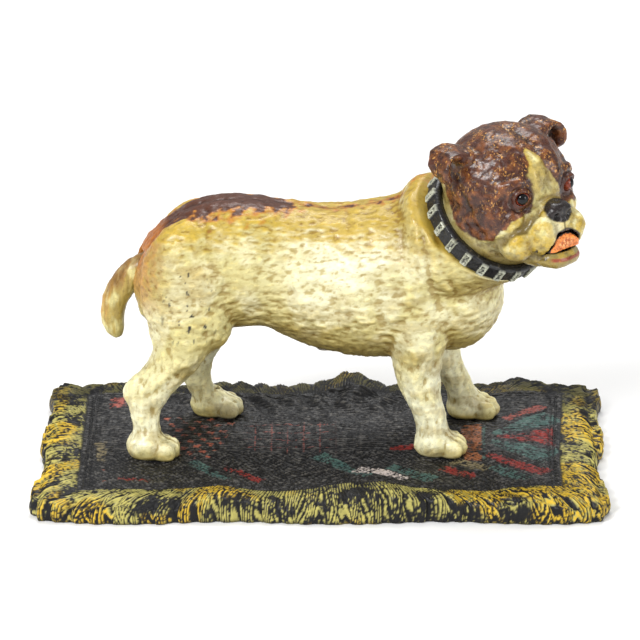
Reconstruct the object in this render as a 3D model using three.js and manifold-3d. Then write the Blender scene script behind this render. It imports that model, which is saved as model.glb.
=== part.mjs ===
// Figural bulldog coin bank on a folded rug, millimetres, +Z up.
// Origin: on the ground under the middle of the rug. +X runs towards the dog's head.
import * as THREE from 'three';
import * as BufferGeometryUtils from 'three/addons/utils/BufferGeometryUtils.js';
import Module from 'manifold-3d';

const wasm = await Module();
wasm.setup();

// ---- driving dimensions ----
const gap = 0.3; // clearance between pieces that meet
const wall = 3.2; // casting thickness
const castingFineness = 0.14; // how closely the facets of the castings follow their form

const rugLength = 213;
const rugWidth = 123;
const rugTopHeight = 9; // where the paws stand
const rugThickness = 3.6;
const rimWidth = 7;
const dogOffset = new THREE.Vector3(0, 4, -1.5); // the dog's own frame on the rug

const ringCentre = new THREE.Vector3(63.8, -8, 102.6); // middle of the collar
const neckAxis = new THREE.Vector3(0.516, -0.45, 0.725).normalize();
const collarInner = 22.6;
const collarOuter = 25.9;
const collarWidth = 7.4;
const spigotOuter = 19.5;
const spigotInner = 16.3;

const skullCentre = new THREE.Vector3(70.7, -12, 119.7);
const headYaw = -Math.PI / 4; // the head looks over the right shoulder
const eyeSide = 12.3;
const eyeForward = 20.2;
const eyeRadius = 2.9;

const tonguePivot = new THREE.Vector3(26.3, 0, -18.2); // in the head's frame
const tailPivot = new THREE.Vector3(-63.5, 0, 82.5);
const tailKnuckle = 5.4;
const tailArm = 6.9; // lever that pushes the rod
const rodRadius = 1.2;
const rodTravel = 3.6;
const pinRadius = 1.3;
const screwRadius = 1.9;

const pawHeight = rugTopHeight - dogOffset.z + gap; // sole of the paws in the dog's frame

// ---- solids ----
function solidOf(geometry) {
  const bare = geometry.clone();
  bare.deleteAttribute('normal');
  bare.deleteAttribute('uv');
  const merged = BufferGeometryUtils.mergeVertices(bare, 1e-4);
  const mesh = new wasm.Mesh({
    numProp: 3,
    vertProperties: new Float32Array(merged.attributes.position.array),
    triVerts: new Uint32Array(merged.index.array),
  });
  return new wasm.Manifold(mesh);
}

function geometryOf(solid, fineness) {
  const tidy = solid.setTolerance(fineness);
  const largest = tidy.decompose().sort((a, b) => b.volume() - a.volume())[0];
  const mesh = largest.getMesh();
  const geometry = new THREE.BufferGeometry();
  geometry.setAttribute('position', new THREE.BufferAttribute(mesh.vertProperties, 3));
  geometry.setIndex(new THREE.BufferAttribute(mesh.triVerts, 1));
  geometry.computeVertexNormals();
  return geometry;
}

function joined(...solids) {
  return solids.reduce((all, next) => all.add(next));
}

function lessAll(solid, ...cutters) {
  return cutters.reduce((left, cutter) => left.subtract(cutter), solid);
}

// rings: arrays of points of equal count, listed so that the loft runs along the rings' normals
function loft(rings) {
  const count = rings[0].length;
  const positions = [];
  const index = [];
  rings.forEach((ring) => ring.forEach((point) => positions.push(point.x, point.y, point.z)));
  for (let i = 0; i < rings.length - 1; i += 1) {
    for (let j = 0; j < count; j += 1) {
      const a = i * count + j;
      const b = i * count + ((j + 1) % count);
      index.push(a, b, b + count, a, b + count, a + count);
    }
  }
  [0, rings.length - 1].forEach((row) => {
    const middle = new THREE.Vector3();
    rings[row].forEach((point) => middle.addScaledVector(point, 1 / count));
    const centre = positions.length / 3;
    positions.push(middle.x, middle.y, middle.z);
    for (let j = 0; j < count; j += 1) {
      const a = row * count + j;
      const b = row * count + ((j + 1) % count);
      if (row === 0) index.push(centre, b, a);
      else index.push(centre, a, b);
    }
  });
  const geometry = new THREE.BufferGeometry();
  geometry.setAttribute('position', new THREE.Float32BufferAttribute(positions, 3));
  geometry.setIndex(index);
  return solidOf(geometry);
}

function ellipsoid(centre, radii, yaw = 0, pitch = 0, segments = 18) {
  const geometry = new THREE.SphereGeometry(1, segments, Math.round(segments * 0.6));
  geometry.rotateX(Math.PI / 2);
  geometry.scale(radii[0], radii[1], radii[2]);
  geometry.rotateY(pitch);
  geometry.rotateZ(yaw);
  geometry.translate(centre[0], centre[1], centre[2]);
  return solidOf(geometry);
}

function rod(from, to, radius, segments = 20) {
  const start = new THREE.Vector3(...from);
  const end = new THREE.Vector3(...to);
  const along = end.clone().sub(start);
  const geometry = new THREE.CylinderGeometry(radius, radius, along.length(), segments);
  const turn = new THREE.Quaternion().setFromUnitVectors(
    new THREE.Vector3(0, 1, 0),
    along.clone().normalize(),
  );
  geometry.applyQuaternion(turn);
  geometry.translate(...start.add(end).multiplyScalar(0.5).toArray());
  return solidOf(geometry);
}

function block(low, high) {
  const size = high.map((value, i) => value - low[i]);
  const geometry = new THREE.BoxGeometry(...size);
  geometry.translate(...high.map((value, i) => (value + low[i]) / 2));
  return solidOf(geometry);
}

// a round section across any axis, for necks and rings
function discRing(centre, axis, radius, segments = 24) {
  const normal = axis.clone().normalize();
  const side = new THREE.Vector3(0, 1, 0).cross(normal).normalize();
  const other = normal.clone().cross(side);
  return Array.from({ length: segments }, (unused, k) => {
    const angle = (k / segments) * Math.PI * 2;
    return centre
      .clone()
      .addScaledVector(side, Math.cos(angle) * radius)
      .addScaledVector(other, Math.sin(angle) * radius);
  });
}

// a level section, for legs
function levelRing(x, y, z, halfLength, halfWidth, segments = 12) {
  return Array.from({ length: segments }, (unused, k) => {
    const angle = (k / segments) * Math.PI * 2;
    return new THREE.Vector3(x + Math.cos(angle) * halfLength, y + Math.sin(angle) * halfWidth, z);
  });
}

// ---- torso ----
// station: [x, back height, belly height, half width]
const torsoStations = [
  [-71, 83, 70, 7],
  [-68.6, 88.5, 62, 13],
  [-64, 95.4, 57, 19],
  [-55, 103.5, 55, 22],
  [-45, 107.5, 55, 23],
  [-34, 109, 57.5, 22],
  [-22, 108, 58, 20.5],
  [-10, 106, 51.5, 20.5],
  [4, 105, 46.5, 22.5],
  [18, 106.5, 45, 24.5],
  [33, 110, 45.5, 26],
  [47, 107, 48, 25],
  [59, 95, 53, 20],
  [66.5, 84, 60, 11],
];

const torsoSides = 20;

function torsoRing([x, back, belly, halfWidth], inset) {
  const middle = (back + belly) / 2;
  const halfHeight = (back - belly) / 2 - inset;
  const half = halfWidth - inset;
  const power = 0.9; // slightly square section
  return Array.from({ length: torsoSides }, (unused, k) => {
    const angle = (k / torsoSides) * Math.PI * 2;
    const c = Math.cos(angle);
    const s = Math.sin(angle);
    const y = Math.sign(c) * Math.abs(c) ** power * half;
    const z = middle + Math.sign(s) * Math.abs(s) ** power * halfHeight;
    return new THREE.Vector3(x, y, z);
  });
}

const torsoOuter = loft(torsoStations.map((station) => torsoRing(station, 0)));
const torsoInner = loft(torsoStations.slice(2, -2).map((station) => torsoRing(station, wall + 0.3)));

// ---- neck of the body, ending inside the collar ----
function onNeck(distance) {
  return ringCentre.clone().addScaledVector(neckAxis, distance);
}

const shoulderPitch = [
  [new THREE.Vector3(34, 0, 84), new THREE.Vector3(1, 0, 0.15), 26],
  [new THREE.Vector3(44, -1, 90), new THREE.Vector3(0.9, -0.2, 0.45), 26.6],
  [new THREE.Vector3(52.5, -4, 96), new THREE.Vector3(0.7, -0.36, 0.62), 26.2],
  [onNeck(-4.3), neckAxis, 25.2],
];
const neckLanding = collarInner - gap;
const neckOuter = loft([
  ...shoulderPitch.map(([centre, axis, radius]) => discRing(centre, axis, radius)),
  discRing(onNeck(-4.1), neckAxis, neckLanding),
  discRing(onNeck(-gap / 2), neckAxis, neckLanding),
]);
const neckInner = loft([
  ...shoulderPitch.slice(0, 3).map(([centre, axis, radius]) => discRing(centre, axis, radius - wall - 0.8)),
  discRing(onNeck(-4.3), neckAxis, spigotOuter + gap + 0.4),
  discRing(onNeck(1), neckAxis, spigotOuter + gap + 0.4),
]);

// ---- legs: [x, height, half length, half width], from the paw up ----
const hindNear = [
  [-65.6, 13, 6.6, 6.4], [-65.6, 21, 6, 5.6], [-65, 29.5, 8, 6], [-61.8, 38, 10.4, 7.4],
  [-57.4, 45, 11.4, 8.8], [-52.6, 54, 12.2, 10], [-51.5, 66, 17.5, 11.5], [-51, 80, 18, 10],
];
const foreNear = [
  [44.6, 13, 7, 6.6], [43.6, 20.5, 6.8, 6], [41.4, 28.5, 7, 6.2], [38.3, 37, 8, 7],
  [37.2, 44, 9, 8], [37.4, 51, 10.6, 9], [37.6, 60, 13, 10], [37.4, 76, 15.5, 10],
];

function leg(stations, side, offsetY, forward, lean) {
  const rings = stations.map(([x, z, halfLength, halfWidth]) => {
    const rise = Math.min(Math.max((z - 13) / 55, 0), 1);
    const shift = forward * (1 - rise ** 1.2);
    const y = side * (offsetY - lean * rise);
    return levelRing(x + shift, y, z, halfLength, halfWidth);
  });
  return loft(rings);
}

// a paw with four toes, its sole flat
function paw(x, y, turn) {
  const toes = [-4.9, -1.7, 1.7, 4.9].map((across, i) => {
    const reach = i === 1 || i === 2 ? 6.2 : 4.6;
    const cx = x + Math.cos(turn) * reach - Math.sin(turn) * across;
    const cy = y + Math.sin(turn) * reach + Math.cos(turn) * across;
    return ellipsoid([cx, cy, pawHeight + 3.3], [4.6, 2.5, 4.3], turn, 0, 8);
  });
  const pad = ellipsoid([x - 1.5, y, pawHeight + 4.4], [8.6, 7.2, 6.4], turn, 0, 10);
  const below = block([x - 30, y - 30, -20], [x + 30, y + 30, pawHeight]);
  return joined(pad, ...toes).subtract(below);
}

const pawPlaces = {
  rightHind: [-64.6, -21.4, 0.05],
  rightFore: [46, -18.4, 0],
  leftHind: [-41, 22.4, 0],
  leftFore: [59.4, 20.4, 0.1],
};

const rightLegs = joined(
  leg(hindNear, -1, 21.4, 0, 8.4),
  leg(foreNear, -1, 18.4, 0, 4.5),
  paw(...pawPlaces.rightHind),
  paw(...pawPlaces.rightFore),
  ellipsoid([-51, -12.5, 79], [18.5, 11.6, 25], 0, 0.12, 14),
  ellipsoid([37, -14.5, 77], [16.5, 12, 25], 0, 0.1, 14),
);
const leftLegs = joined(
  leg(hindNear, 1, 22.4, 23, 8.4),
  leg(foreNear, 1, 20.4, 13.5, 4.5),
  paw(...pawPlaces.leftHind),
  paw(...pawPlaces.leftFore),
  ellipsoid([-48, 12.5, 79], [19.5, 11.6, 25], 0, -0.12, 14),
  ellipsoid([41, 14, 77], [17, 12, 25], 0, -0.1, 14),
);
const chest = ellipsoid([49.5, 0, 71.5], [21, 22.5, 24.5], 0, 0.1, 14);

// ---- cuts of the body ----
const screwPlaces = [[27, 78, 21.2], [-30, 78, 17.4]]; // x, height and seat of the two body screws
const trapCentre = [17, 2.5];
const trapRadius = 10.5;
const bellySeat = 49.2;
const trapPivot = [2, 2.5];
const landHeight = 7.2; // ring of metal round the trap hole
const sole = joined(
  rod([...trapCentre, bellySeat], [...trapCentre, bellySeat + landHeight], trapRadius + 3, 28),
  rod([...trapPivot, bellySeat], [...trapPivot, bellySeat + landHeight + 1.5], 5, 16),
);
const underBelly = block([-3.5, -10.5, 20], [29.8, 18, bellySeat]);
const trapHole = rod([...trapCentre, 30], [...trapCentre, 60], trapRadius, 24);
const trapScrewHole = rod([...trapPivot, 30], [...trapPivot, bellySeat + 7.5], 1.9);
const knuckleRoom = joined(
  rod([tailPivot.x, -5.5, tailPivot.z], [tailPivot.x, 5.5, tailPivot.z], tailKnuckle + 0.6, 24),
  block([-92, -5.5, 70], [tailPivot.x, 5.5, tailPivot.z + tailKnuckle + 0.6]),
  block([tailPivot.x - 2.4, -3.2, tailPivot.z], [-52, 3.2, tailPivot.z + tailArm + 2.2]),
  block([tailPivot.x, -3.6, tailPivot.z - 9], [-48, 3.6, tailPivot.z + 3]),
);
const tailPinHole = rod([tailPivot.x, -9.5, tailPivot.z], [tailPivot.x, 9.5, tailPivot.z], pinRadius + gap);

function screwBoss([x, z, seat], side) {
  return rod([x, 0, z], [x, side * (seat + 2.4), z], 5.6, 16);
}

function screwHole([x, z, seat], side) {
  if (side < 0) return rod([x, 1, z], [x, 2 - seat, z], screwRadius + gap);
  return joined(
    rod([x, -1, z], [x, 40, z], screwRadius + gap),
    rod([x, seat, z], [x, 40, z], 4.1),
  );
}

function pawScrewHole([x, y]) {
  return rod([x, y, 0], [x, y, pawHeight + 11], 1.5 + gap, 12);
}

function bodyHalf(side) {
  const legs = side < 0 ? rightLegs : leftLegs;
  const shell = lessAll(
    joined(torsoOuter, neckOuter, chest, legs),
    torsoInner,
    neckInner,
  );
  const bosses = screwPlaces.map((place) => screwBoss(place, side));
  const pawNames = side < 0 ? ['rightHind', 'rightFore'] : ['leftHind', 'leftFore'];
  const built = lessAll(
    joined(shell, sole, ...bosses),
    underBelly,
    knuckleRoom,
    tailPinHole,
    trapHole,
    trapScrewHole,
    ...screwPlaces.map((place) => screwHole(place, side)),
    ...pawNames.map((name) => pawScrewHole(pawPlaces[name])),
  );
  const near = gap / 2;
  const far = 80;
  const [from, to] = side < 0 ? [-far, -near] : [near, far];
  return built.intersect(block([-120, from, 0], [120, to, 160]));
}

// ---- head, in its own frame: x forward, y to the dog's left, z up, from the skull's centre ----
const toHead = new THREE.Matrix4()
  .makeRotationZ(headYaw)
  .setPosition(skullCentre)
  .invert();
const ringInHead = ringCentre.clone().applyMatrix4(toHead);
const axisInHead = neckAxis.clone().transformDirection(toHead);

function onCollar(distance) {
  return ringInHead.clone().addScaledVector(axisInHead, distance);
}

function neckCylinder(from, to, radius, segments = 24) {
  return loft([
    discRing(onCollar(from), axisInHead, radius, segments),
    discRing(onCollar(to), axisInHead, radius, segments),
  ]);
}

function pair(make) {
  return [make(1), make(-1)];
}

const headOuter = joined(
  ellipsoid([-1, 0, 0.5], [23.5, 25, 20.6], 0, 0, 20),
  ellipsoid([10, 0, 4.6], [13, 17, 13.4], 0, 0.2, 16),
  ...pair((side) => ellipsoid([5.5, side * 13, -9], [16.5, 10.8, 14], 0, 0, 14)),
  ellipsoid([21, 0, -11], [11.5, 13.5, 10.5], 0, 0, 16),
  ...pair((side) => ellipsoid([20.5, side * 10, -16.5], [11.5, 6.8, 9.5], side * -0.25, 0, 14)),
  ellipsoid([20.5, 0, -21.5], [13.2, 12.5, 7], 0, 0, 14),
  ellipsoid([24.5, 0, -4.5], [4, 6.6, 4.3], 0, 0, 16),
  ...pair((side) => ellipsoid([-5.5, side * 27, 12.5 - side * 2], [4.6, 7.2, 5.8], side * 0.3, 0, 12)),
  ...pair((side) => ellipsoid([-4, side * 20.5, 11.5 - side * 2], [4.6, 7, 6], 0, 0, 12)),
  neckCylinder(gap / 2, 14, neckLanding),
);
const beyondCollar = loft([
  discRing(onCollar(-30), axisInHead, 60, 24),
  discRing(onCollar(gap / 2), axisInHead, 60, 24),
]);
const collarRoom = neckCylinder(-10, collarWidth / 2 + 0.6, 60).subtract(
  neckCylinder(-11, collarWidth / 2 + 0.9, neckLanding + 0.05),
);
const spigot = neckCylinder(-5.6, 8, spigotOuter);
const aboveCollar = loft([
  discRing(onCollar(7), axisInHead, 80, 24),
  discRing(onCollar(90), axisInHead, 80, 24),
]);
const headInner = joined(
  joined(
    ellipsoid([-1.5, 0, -0.2], [19.6, 20.8, 17], 0, 0, 16),
    ellipsoid([16, 0, -14.5], [12, 9, 7.6], 0, 0, 14),
  ).intersect(aboveCollar),
  neckCylinder(-12, 14, spigotInner, 18),
);
const mouthCavity = joined(
  block([12, -9.3, -25.4], [31.3, 9.3, -8.6]),
  block([28, -9.3, -21.9], [38, 9.3, -9.6]),
);

// the push rod, in the dog's frame: straight through the body, then bent towards the mouth
const rodHeight = tailPivot.z + tailArm;
const rodTip = new THREE.Vector3(24.6, 0, -23.4).applyMatrix4(toHead.clone().invert());
const rodRoute = new THREE.CatmullRomCurve3([
  new THREE.Vector3(tailPivot.x + 2, 0, rodHeight),
  new THREE.Vector3(-20, 0, rodHeight),
  new THREE.Vector3(18, 0, rodHeight + 1),
  new THREE.Vector3(44, -6.5, 93),
  new THREE.Vector3(62, -16.8, 95.5),
  rodTip,
], false, 'centripetal');
const throatPoints = [0.78, 0.86, 0.93, 1].map((t) => rodRoute.getPointAt(t));
const rodRoom = [0, 2, rodTravel + 0.4].flatMap((shift) => throatPoints.slice(1).map((point, i) => {
  const forward = new THREE.Vector3(shift, 0, 0);
  const from = throatPoints[i].clone().add(forward).applyMatrix4(toHead);
  const to = point.clone().add(forward).applyMatrix4(toHead);
  return rod(from.toArray(), to.toArray(), rodRadius + 0.8, 12);
}));
const eyeHoles = pair((side) => ellipsoid(
  [eyeForward - 1, side * eyeSide, 0.8],
  [eyeRadius + gap, eyeRadius + gap, eyeRadius + gap],
  0,
  0,
  16,
));
const tonguePinHole = rod(
  [tonguePivot.x, -12, tonguePivot.z],
  [tonguePivot.x, 12, tonguePivot.z],
  1 + gap,
);

const headShell = lessAll(
  joined(lessAll(headOuter, beyondCollar, collarRoom), spigot),
  headInner,
  mouthCavity,
  ...eyeHoles,
  ...rodRoom,
  tonguePinHole,
);

// ---- tongue: a plate hinged behind the lip, its arm reaches down to the push rod ----
const tongueThickness = 2.4;
const tongueShape = new THREE.Shape();
tongueShape.moveTo(-8.2, -3.2);
tongueShape.lineTo(8.2, -3.2);
tongueShape.lineTo(8.6, 3);
tongueShape.absarc(0, 0.9, 6.7, 0.5, Math.PI - 0.5, false);
tongueShape.lineTo(-8.6, 3);
tongueShape.closePath();
const plateGeometry = new THREE.ExtrudeGeometry(tongueShape, {
  depth: tongueThickness,
  bevelEnabled: false,
  curveSegments: 10,
});
plateGeometry.applyMatrix4(new THREE.Matrix4().makeBasis(
  new THREE.Vector3(0, 1, 0),
  new THREE.Vector3(0, 0, 1),
  new THREE.Vector3(1, 0, 0),
));
plateGeometry.translate(2.3, 0, 0);
const tongueSolid = joined(
  solidOf(plateGeometry),
  rod([0, -8.2, 0], [0, 8.2, 0], 2.4, 18),
  block([0, -8, -1.6], [3, 8, 1.6]),
  block([-1.2, -2.2, -6.4], [1.2, 2.2, -1]),
).subtract(rod([0, -12, 0], [0, 12, 0], 1 + gap));

// ---- tail lever ----
const tailRoute = [
  [-63.5, 82.5, 5], [-69.5, 79.6, 5.4], [-74, 75.6, 5.4], [-77.8, 70.2, 5.1],
  [-79.8, 64.5, 4.8], [-79.8, 59, 4.5], [-78.3, 54.6, 3.9], [-77, 51.8, 2.2],
];

function tailRings() {
  return tailRoute.map(([x, z, radius], i) => {
    const before = tailRoute[Math.max(i - 1, 0)];
    const after = tailRoute[Math.min(i + 1, tailRoute.length - 1)];
    const along = new THREE.Vector3(after[0] - before[0], 0, after[1] - before[1]);
    return discRing(new THREE.Vector3(x, 0, z), along, radius, 16).map((point) => {
      point.y *= 0.96;
      return point;
    });
  });
}

const tailHub = 4.8; // half width of the hub
const tailSolid = joined(
  loft(tailRings()),
  rod([tailPivot.x, -tailHub, tailPivot.z], [tailPivot.x, tailHub, tailPivot.z], tailKnuckle, 24),
  block([tailPivot.x - 1.6, -2.5, tailPivot.z], [tailPivot.x + 1.6, 2.5, tailPivot.z + tailArm + 1.4]),
  block([tailPivot.x, -2.8, tailPivot.z - 1.3], [-49, 2.8, tailPivot.z + 1.7]),
).subtract(rod([tailPivot.x, -9, tailPivot.z], [tailPivot.x, 9, tailPivot.z], pinRadius + gap));

// ---- return spring ----
const springRadius = 4;
const wireRadius = 0.7;
const springTurns = 5.5;
const springFoot = 60.4;
const springTop = tailPivot.z - 1.3 - gap - wireRadius;
const springX = -52;

class CoilCurve extends THREE.Curve {
  getPoint(t) {
    const angle = t * springTurns * Math.PI * 2;
    return new THREE.Vector3(
      springX + Math.cos(angle) * springRadius,
      Math.sin(angle) * springRadius,
      springFoot + t * (springTop - springFoot),
    );
  }
}

function roundSection(radius, sides) {
  const section = new THREE.Shape();
  section.absarc(0, 0, radius, 0, Math.PI * 2);
  return new THREE.Shape(section.getSpacedPoints(sides).slice(0, sides));
}

function tube(curve, radius, steps, sides) {
  return solidOf(new THREE.ExtrudeGeometry(roundSection(radius, sides), {
    steps,
    extrudePath: curve,
    bevelEnabled: false,
  }));
}

// ---- collar with raised bars ----
const collarBars = 22;

function collarSolid() {
  const half = collarWidth / 2;
  const profile = [
    [collarInner, -half], [collarOuter - 0.6, -half], [collarOuter, -half + 0.8],
    [collarOuter, half - 0.8], [collarOuter - 0.6, half], [collarInner, half], [collarInner, -half],
  ].map(([radius, height]) => new THREE.Vector2(radius, height));
  const band = new THREE.LatheGeometry(profile, 32);
  band.rotateX(Math.PI / 2);
  const bars = Array.from({ length: collarBars }, (unused, k) => {
    const bar = new THREE.BoxGeometry(1.4, 2.2, collarWidth - 2.2);
    bar.translate(collarOuter - 0.2, 0, 0);
    bar.rotateZ(((k + 0.5) / collarBars) * Math.PI * 2);
    return solidOf(bar);
  });
  return joined(solidOf(band), ...bars);
}

// ---- rug: a folded cast sheet whose rim stands on the ground ----
const rugColumns = 36;
const rugRows = 22;

function ridge(distance, height, width) {
  return height * Math.exp(-((distance / width) ** 2));
}

function rugFold(x, y) {
  const across = x - (20 - y * 0.12);
  const nearEdge = Math.max(0, (Math.abs(y) - 26) / 34);
  let fold = ridge(across, 3.6, 8) * Math.min(nearEdge, 1);
  fold += ridge(x + 38, 1.6, 9) * Math.max(0, (-y - 30) / 30);
  fold += ridge(x - 78, 1.8, 8) * Math.max(0, (Math.abs(y) - 36) / 24);
  fold += 0.7 * Math.sin(x * 0.16 + 1) * Math.max(0, (Math.abs(y) - 34) / 26);
  return fold;
}

function rugOutline(s, t) {
  const x = s * (rugLength / 2 + 1.4 * Math.sin(t * 7.3 + 0.5) * s * s);
  const y = t * (rugWidth / 2 + 1.3 * Math.sin(s * 8.6 + 1.1) * t * t);
  return [x, y];
}

function rugSolid() {
  const top = [];
  const under = [];
  const ease = (u) => Math.sign(u) * (1 - (1 - Math.abs(u)) ** 1.25);
  for (let i = 0; i <= rugColumns; i += 1) {
    for (let j = 0; j <= rugRows; j += 1) {
      const [x, y] = rugOutline(ease((i / rugColumns) * 2 - 1), ease((j / rugRows) * 2 - 1));
      const inward = Math.min(rugLength / 2 - Math.abs(x), rugWidth / 2 - Math.abs(y));
      const drape = 4.6 * Math.exp(-Math.max(inward, 0) / 3.2);
      const height = rugTopHeight + rugFold(x, y) - drape;
      const open = inward > rimWidth;
      top.push(new THREE.Vector3(x, y, height));
      under.push(new THREE.Vector3(x, y, open ? height - rugThickness : 0));
    }
  }
  const positions = [...top, ...under].flatMap((point) => point.toArray());
  const index = [];
  const rows = rugRows + 1;
  const shift = top.length;
  const quad = (a, b, c, d) => index.push(a, b, c, a, c, d);
  for (let i = 0; i < rugColumns; i += 1) {
    for (let j = 0; j < rugRows; j += 1) {
      const a = i * rows + j;
      quad(a, a + rows, a + rows + 1, a + 1);
      quad(shift + a, shift + a + 1, shift + a + rows + 1, shift + a + rows);
    }
    const near = i * rows;
    const far = near + rugRows;
    quad(shift + near, shift + near + rows, near + rows, near);
    quad(far, far + rows, shift + far + rows, shift + far);
  }
  for (let j = 0; j < rugRows; j += 1) {
    const last = rugColumns * rows + j;
    quad(j, j + 1, shift + j + 1, shift + j);
    quad(last + 1, last, shift + last, shift + last + 1);
  }
  const geometry = new THREE.BufferGeometry();
  geometry.setAttribute('position', new THREE.Float32BufferAttribute(positions, 3));
  geometry.setIndex(index);
  const sheet = solidOf(geometry);
  const spots = Object.values(pawPlaces).map(([x, y]) => [x + dogOffset.x, y + dogOffset.y]);
  const bosses = spots.map(([x, y]) => rod([x, y, 0.6], [x, y, rugTopHeight - 1], 5.6, 20));
  const holes = spots.flatMap(([x, y]) => [
    rod([x, y, -5], [x, y, 30], 1.5 + gap, 12),
    rod([x, y, -5], [x, y, 3.1], 3.6, 16),
  ]);
  return lessAll(joined(sheet, ...bosses), ...holes);
}

// ---- fasteners ----
function bodyScrew([x, z, seat]) {
  const shank = rod([x, seat + 1, z], [x, 2.6 - seat, z], screwRadius, 14);
  const head = rod([x, seat + gap, z], [x, seat + 2.2, z], 3.7, 18);
  const slot = block([x - 5, seat + 1.5, z - 0.5], [x + 5, seat + 4, z + 0.5]);
  return joined(shank, head).subtract(slot);
}

function pawScrew([x, y]) {
  const cx = x + dogOffset.x;
  const cy = y + dogOffset.y;
  const head = rod([cx, cy, 0.9], [cx, cy, 2.8], 3.2, 16);
  const slot = block([cx - 5, cy - 0.4, 0], [cx + 5, cy + 0.4, 1.5]);
  return joined(head, rod([cx, cy, 1.6], [cx, cy, rugTopHeight + 10], 1.5, 12)).subtract(slot);
}

const trapPlate = 1.2;
const trapTop = bellySeat - gap;

function trapCover() {
  const low = trapTop - trapPlate;
  const disc = rod([...trapCentre, low], [...trapCentre, trapTop], trapRadius + 1.5, 30);
  const eye = rod([...trapPivot, low], [...trapPivot, trapTop], 3.8, 20);
  const [x, y] = trapPivot;
  const bridge = block([x, y - 3, low], [x + 8, y + 3, trapTop]);
  const grip = rod([x + 24.6, y, low - 1.4], [x + 24.6, y, trapTop - 0.4], 1.6, 12);
  const hole = rod([...trapPivot, low - 2], [...trapPivot, trapTop + 2], 1.6 + gap, 14);
  return joined(disc, eye, bridge, grip).subtract(hole);
}

function trapScrew() {
  const low = trapTop - trapPlate - gap;
  const head = rod([...trapPivot, low - 1.4], [...trapPivot, low], 3.2, 16);
  const shank = rod([...trapPivot, low - 1], [...trapPivot, bellySeat + 6.6], 1.6, 14);
  const [x, y] = trapPivot;
  const slot = block([x - 5, y - 0.4, low - 3], [x + 5, y + 0.4, low - 1]);
  return joined(head, shank).subtract(slot);
}

// ---- assembly ----
function pinAcross(pivot, reach, radius) {
  return rod([pivot.x, -reach, pivot.z], [pivot.x, reach, pivot.z], radius, 16);
}

function piece(name, solid, colour, roughness, metalness, fineness = 0.03) {
  const material = new THREE.MeshStandardMaterial({ color: colour, roughness, metalness });
  const mesh = new THREE.Mesh(geometryOf(solid, fineness), material);
  mesh.name = name;
  return mesh;
}

const cream = 0xd9cf9a;
const brown = 0x4a2a1c;
const steel = 0x8d9093;
const charcoal = 0x34352f;

const dog = new THREE.Group();
dog.position.copy(dogOffset);
dog.add(
  piece('right_body_half', bodyHalf(-1), cream, 0.45, 0.1, castingFineness),
  piece('left_body_half', bodyHalf(1), cream, 0.45, 0.1, castingFineness),
  piece('tail_lever', tailSolid, cream, 0.45, 0.1),
  piece('tail_pin', pinAcross(tailPivot, 9, pinRadius), steel, 0.35, 1),
  piece('push_rod', tube(rodRoute, rodRadius, 34, 8), steel, 0.35, 1),
  piece('return_spring', tube(new CoilCurve(), wireRadius, 60, 5), steel, 0.3, 1),
  piece('body_screw_front', bodyScrew(screwPlaces[0]), steel, 0.4, 1),
  piece('body_screw_rear', bodyScrew(screwPlaces[1]), steel, 0.4, 1),
  piece('trap_cover', trapCover(), charcoal, 0.5, 0.6),
  piece('trap_screw', trapScrew(), steel, 0.4, 1),
);

const collarMesh = piece('collar', collarSolid(), 0x17171a, 0.4, 0.4);
collarMesh.position.copy(ringCentre);
collarMesh.quaternion.setFromUnitVectors(new THREE.Vector3(0, 0, 1), neckAxis);
dog.add(collarMesh);

const head = new THREE.Group();
head.position.copy(skullCentre);
head.rotation.z = headYaw;
head.add(piece('head_shell', headShell, brown, 0.45, 0.1, castingFineness));
[[-1, 'right_eye'], [1, 'left_eye']].forEach(([side, name]) => {
  const ball = ellipsoid([eyeForward - 1, side * eyeSide, 0.8], [eyeRadius, eyeRadius, eyeRadius], 0, 0, 18);
  head.add(piece(name, ball, 0x5a2a12, 0.05, 0));
});
const tongueMesh = piece('tongue', tongueSolid, 0xd96a3a, 0.5, 0);
tongueMesh.position.copy(tonguePivot);
head.add(tongueMesh);
head.add(piece('tongue_pin', pinAcross(tonguePivot, 11.6, 1), steel, 0.35, 1));
dog.add(head);

const model = new THREE.Group();
model.add(piece('rug_base', rugSolid(), charcoal, 0.6, 0.4, castingFineness));
Object.values(pawPlaces).forEach((place, i) => {
  model.add(piece(`paw_screw_${i + 1}`, pawScrew(place), steel, 0.4, 1));
});
model.add(dog);

export default model;
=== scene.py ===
import math
import bpy
import bmesh
import numpy as np
from mathutils import Matrix, Vector, noise, kdtree


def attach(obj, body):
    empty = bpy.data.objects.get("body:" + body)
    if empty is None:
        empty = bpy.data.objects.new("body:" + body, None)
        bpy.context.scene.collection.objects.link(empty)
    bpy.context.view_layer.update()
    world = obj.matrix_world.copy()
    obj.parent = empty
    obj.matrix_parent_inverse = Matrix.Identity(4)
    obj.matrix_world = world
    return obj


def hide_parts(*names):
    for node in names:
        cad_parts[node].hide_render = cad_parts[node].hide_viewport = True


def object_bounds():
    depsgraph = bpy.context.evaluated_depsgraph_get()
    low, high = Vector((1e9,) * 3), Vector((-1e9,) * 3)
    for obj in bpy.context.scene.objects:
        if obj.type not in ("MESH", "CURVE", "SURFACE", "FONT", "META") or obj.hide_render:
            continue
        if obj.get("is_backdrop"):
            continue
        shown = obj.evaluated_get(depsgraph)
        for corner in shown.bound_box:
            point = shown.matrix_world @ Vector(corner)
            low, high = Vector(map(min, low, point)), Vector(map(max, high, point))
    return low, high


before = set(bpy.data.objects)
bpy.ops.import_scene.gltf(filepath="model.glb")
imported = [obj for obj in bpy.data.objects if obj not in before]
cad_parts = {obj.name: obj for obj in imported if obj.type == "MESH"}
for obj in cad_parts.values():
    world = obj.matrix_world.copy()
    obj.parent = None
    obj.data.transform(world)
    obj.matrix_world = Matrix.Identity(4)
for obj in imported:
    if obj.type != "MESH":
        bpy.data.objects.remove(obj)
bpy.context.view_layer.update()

mm = 0.001
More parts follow.
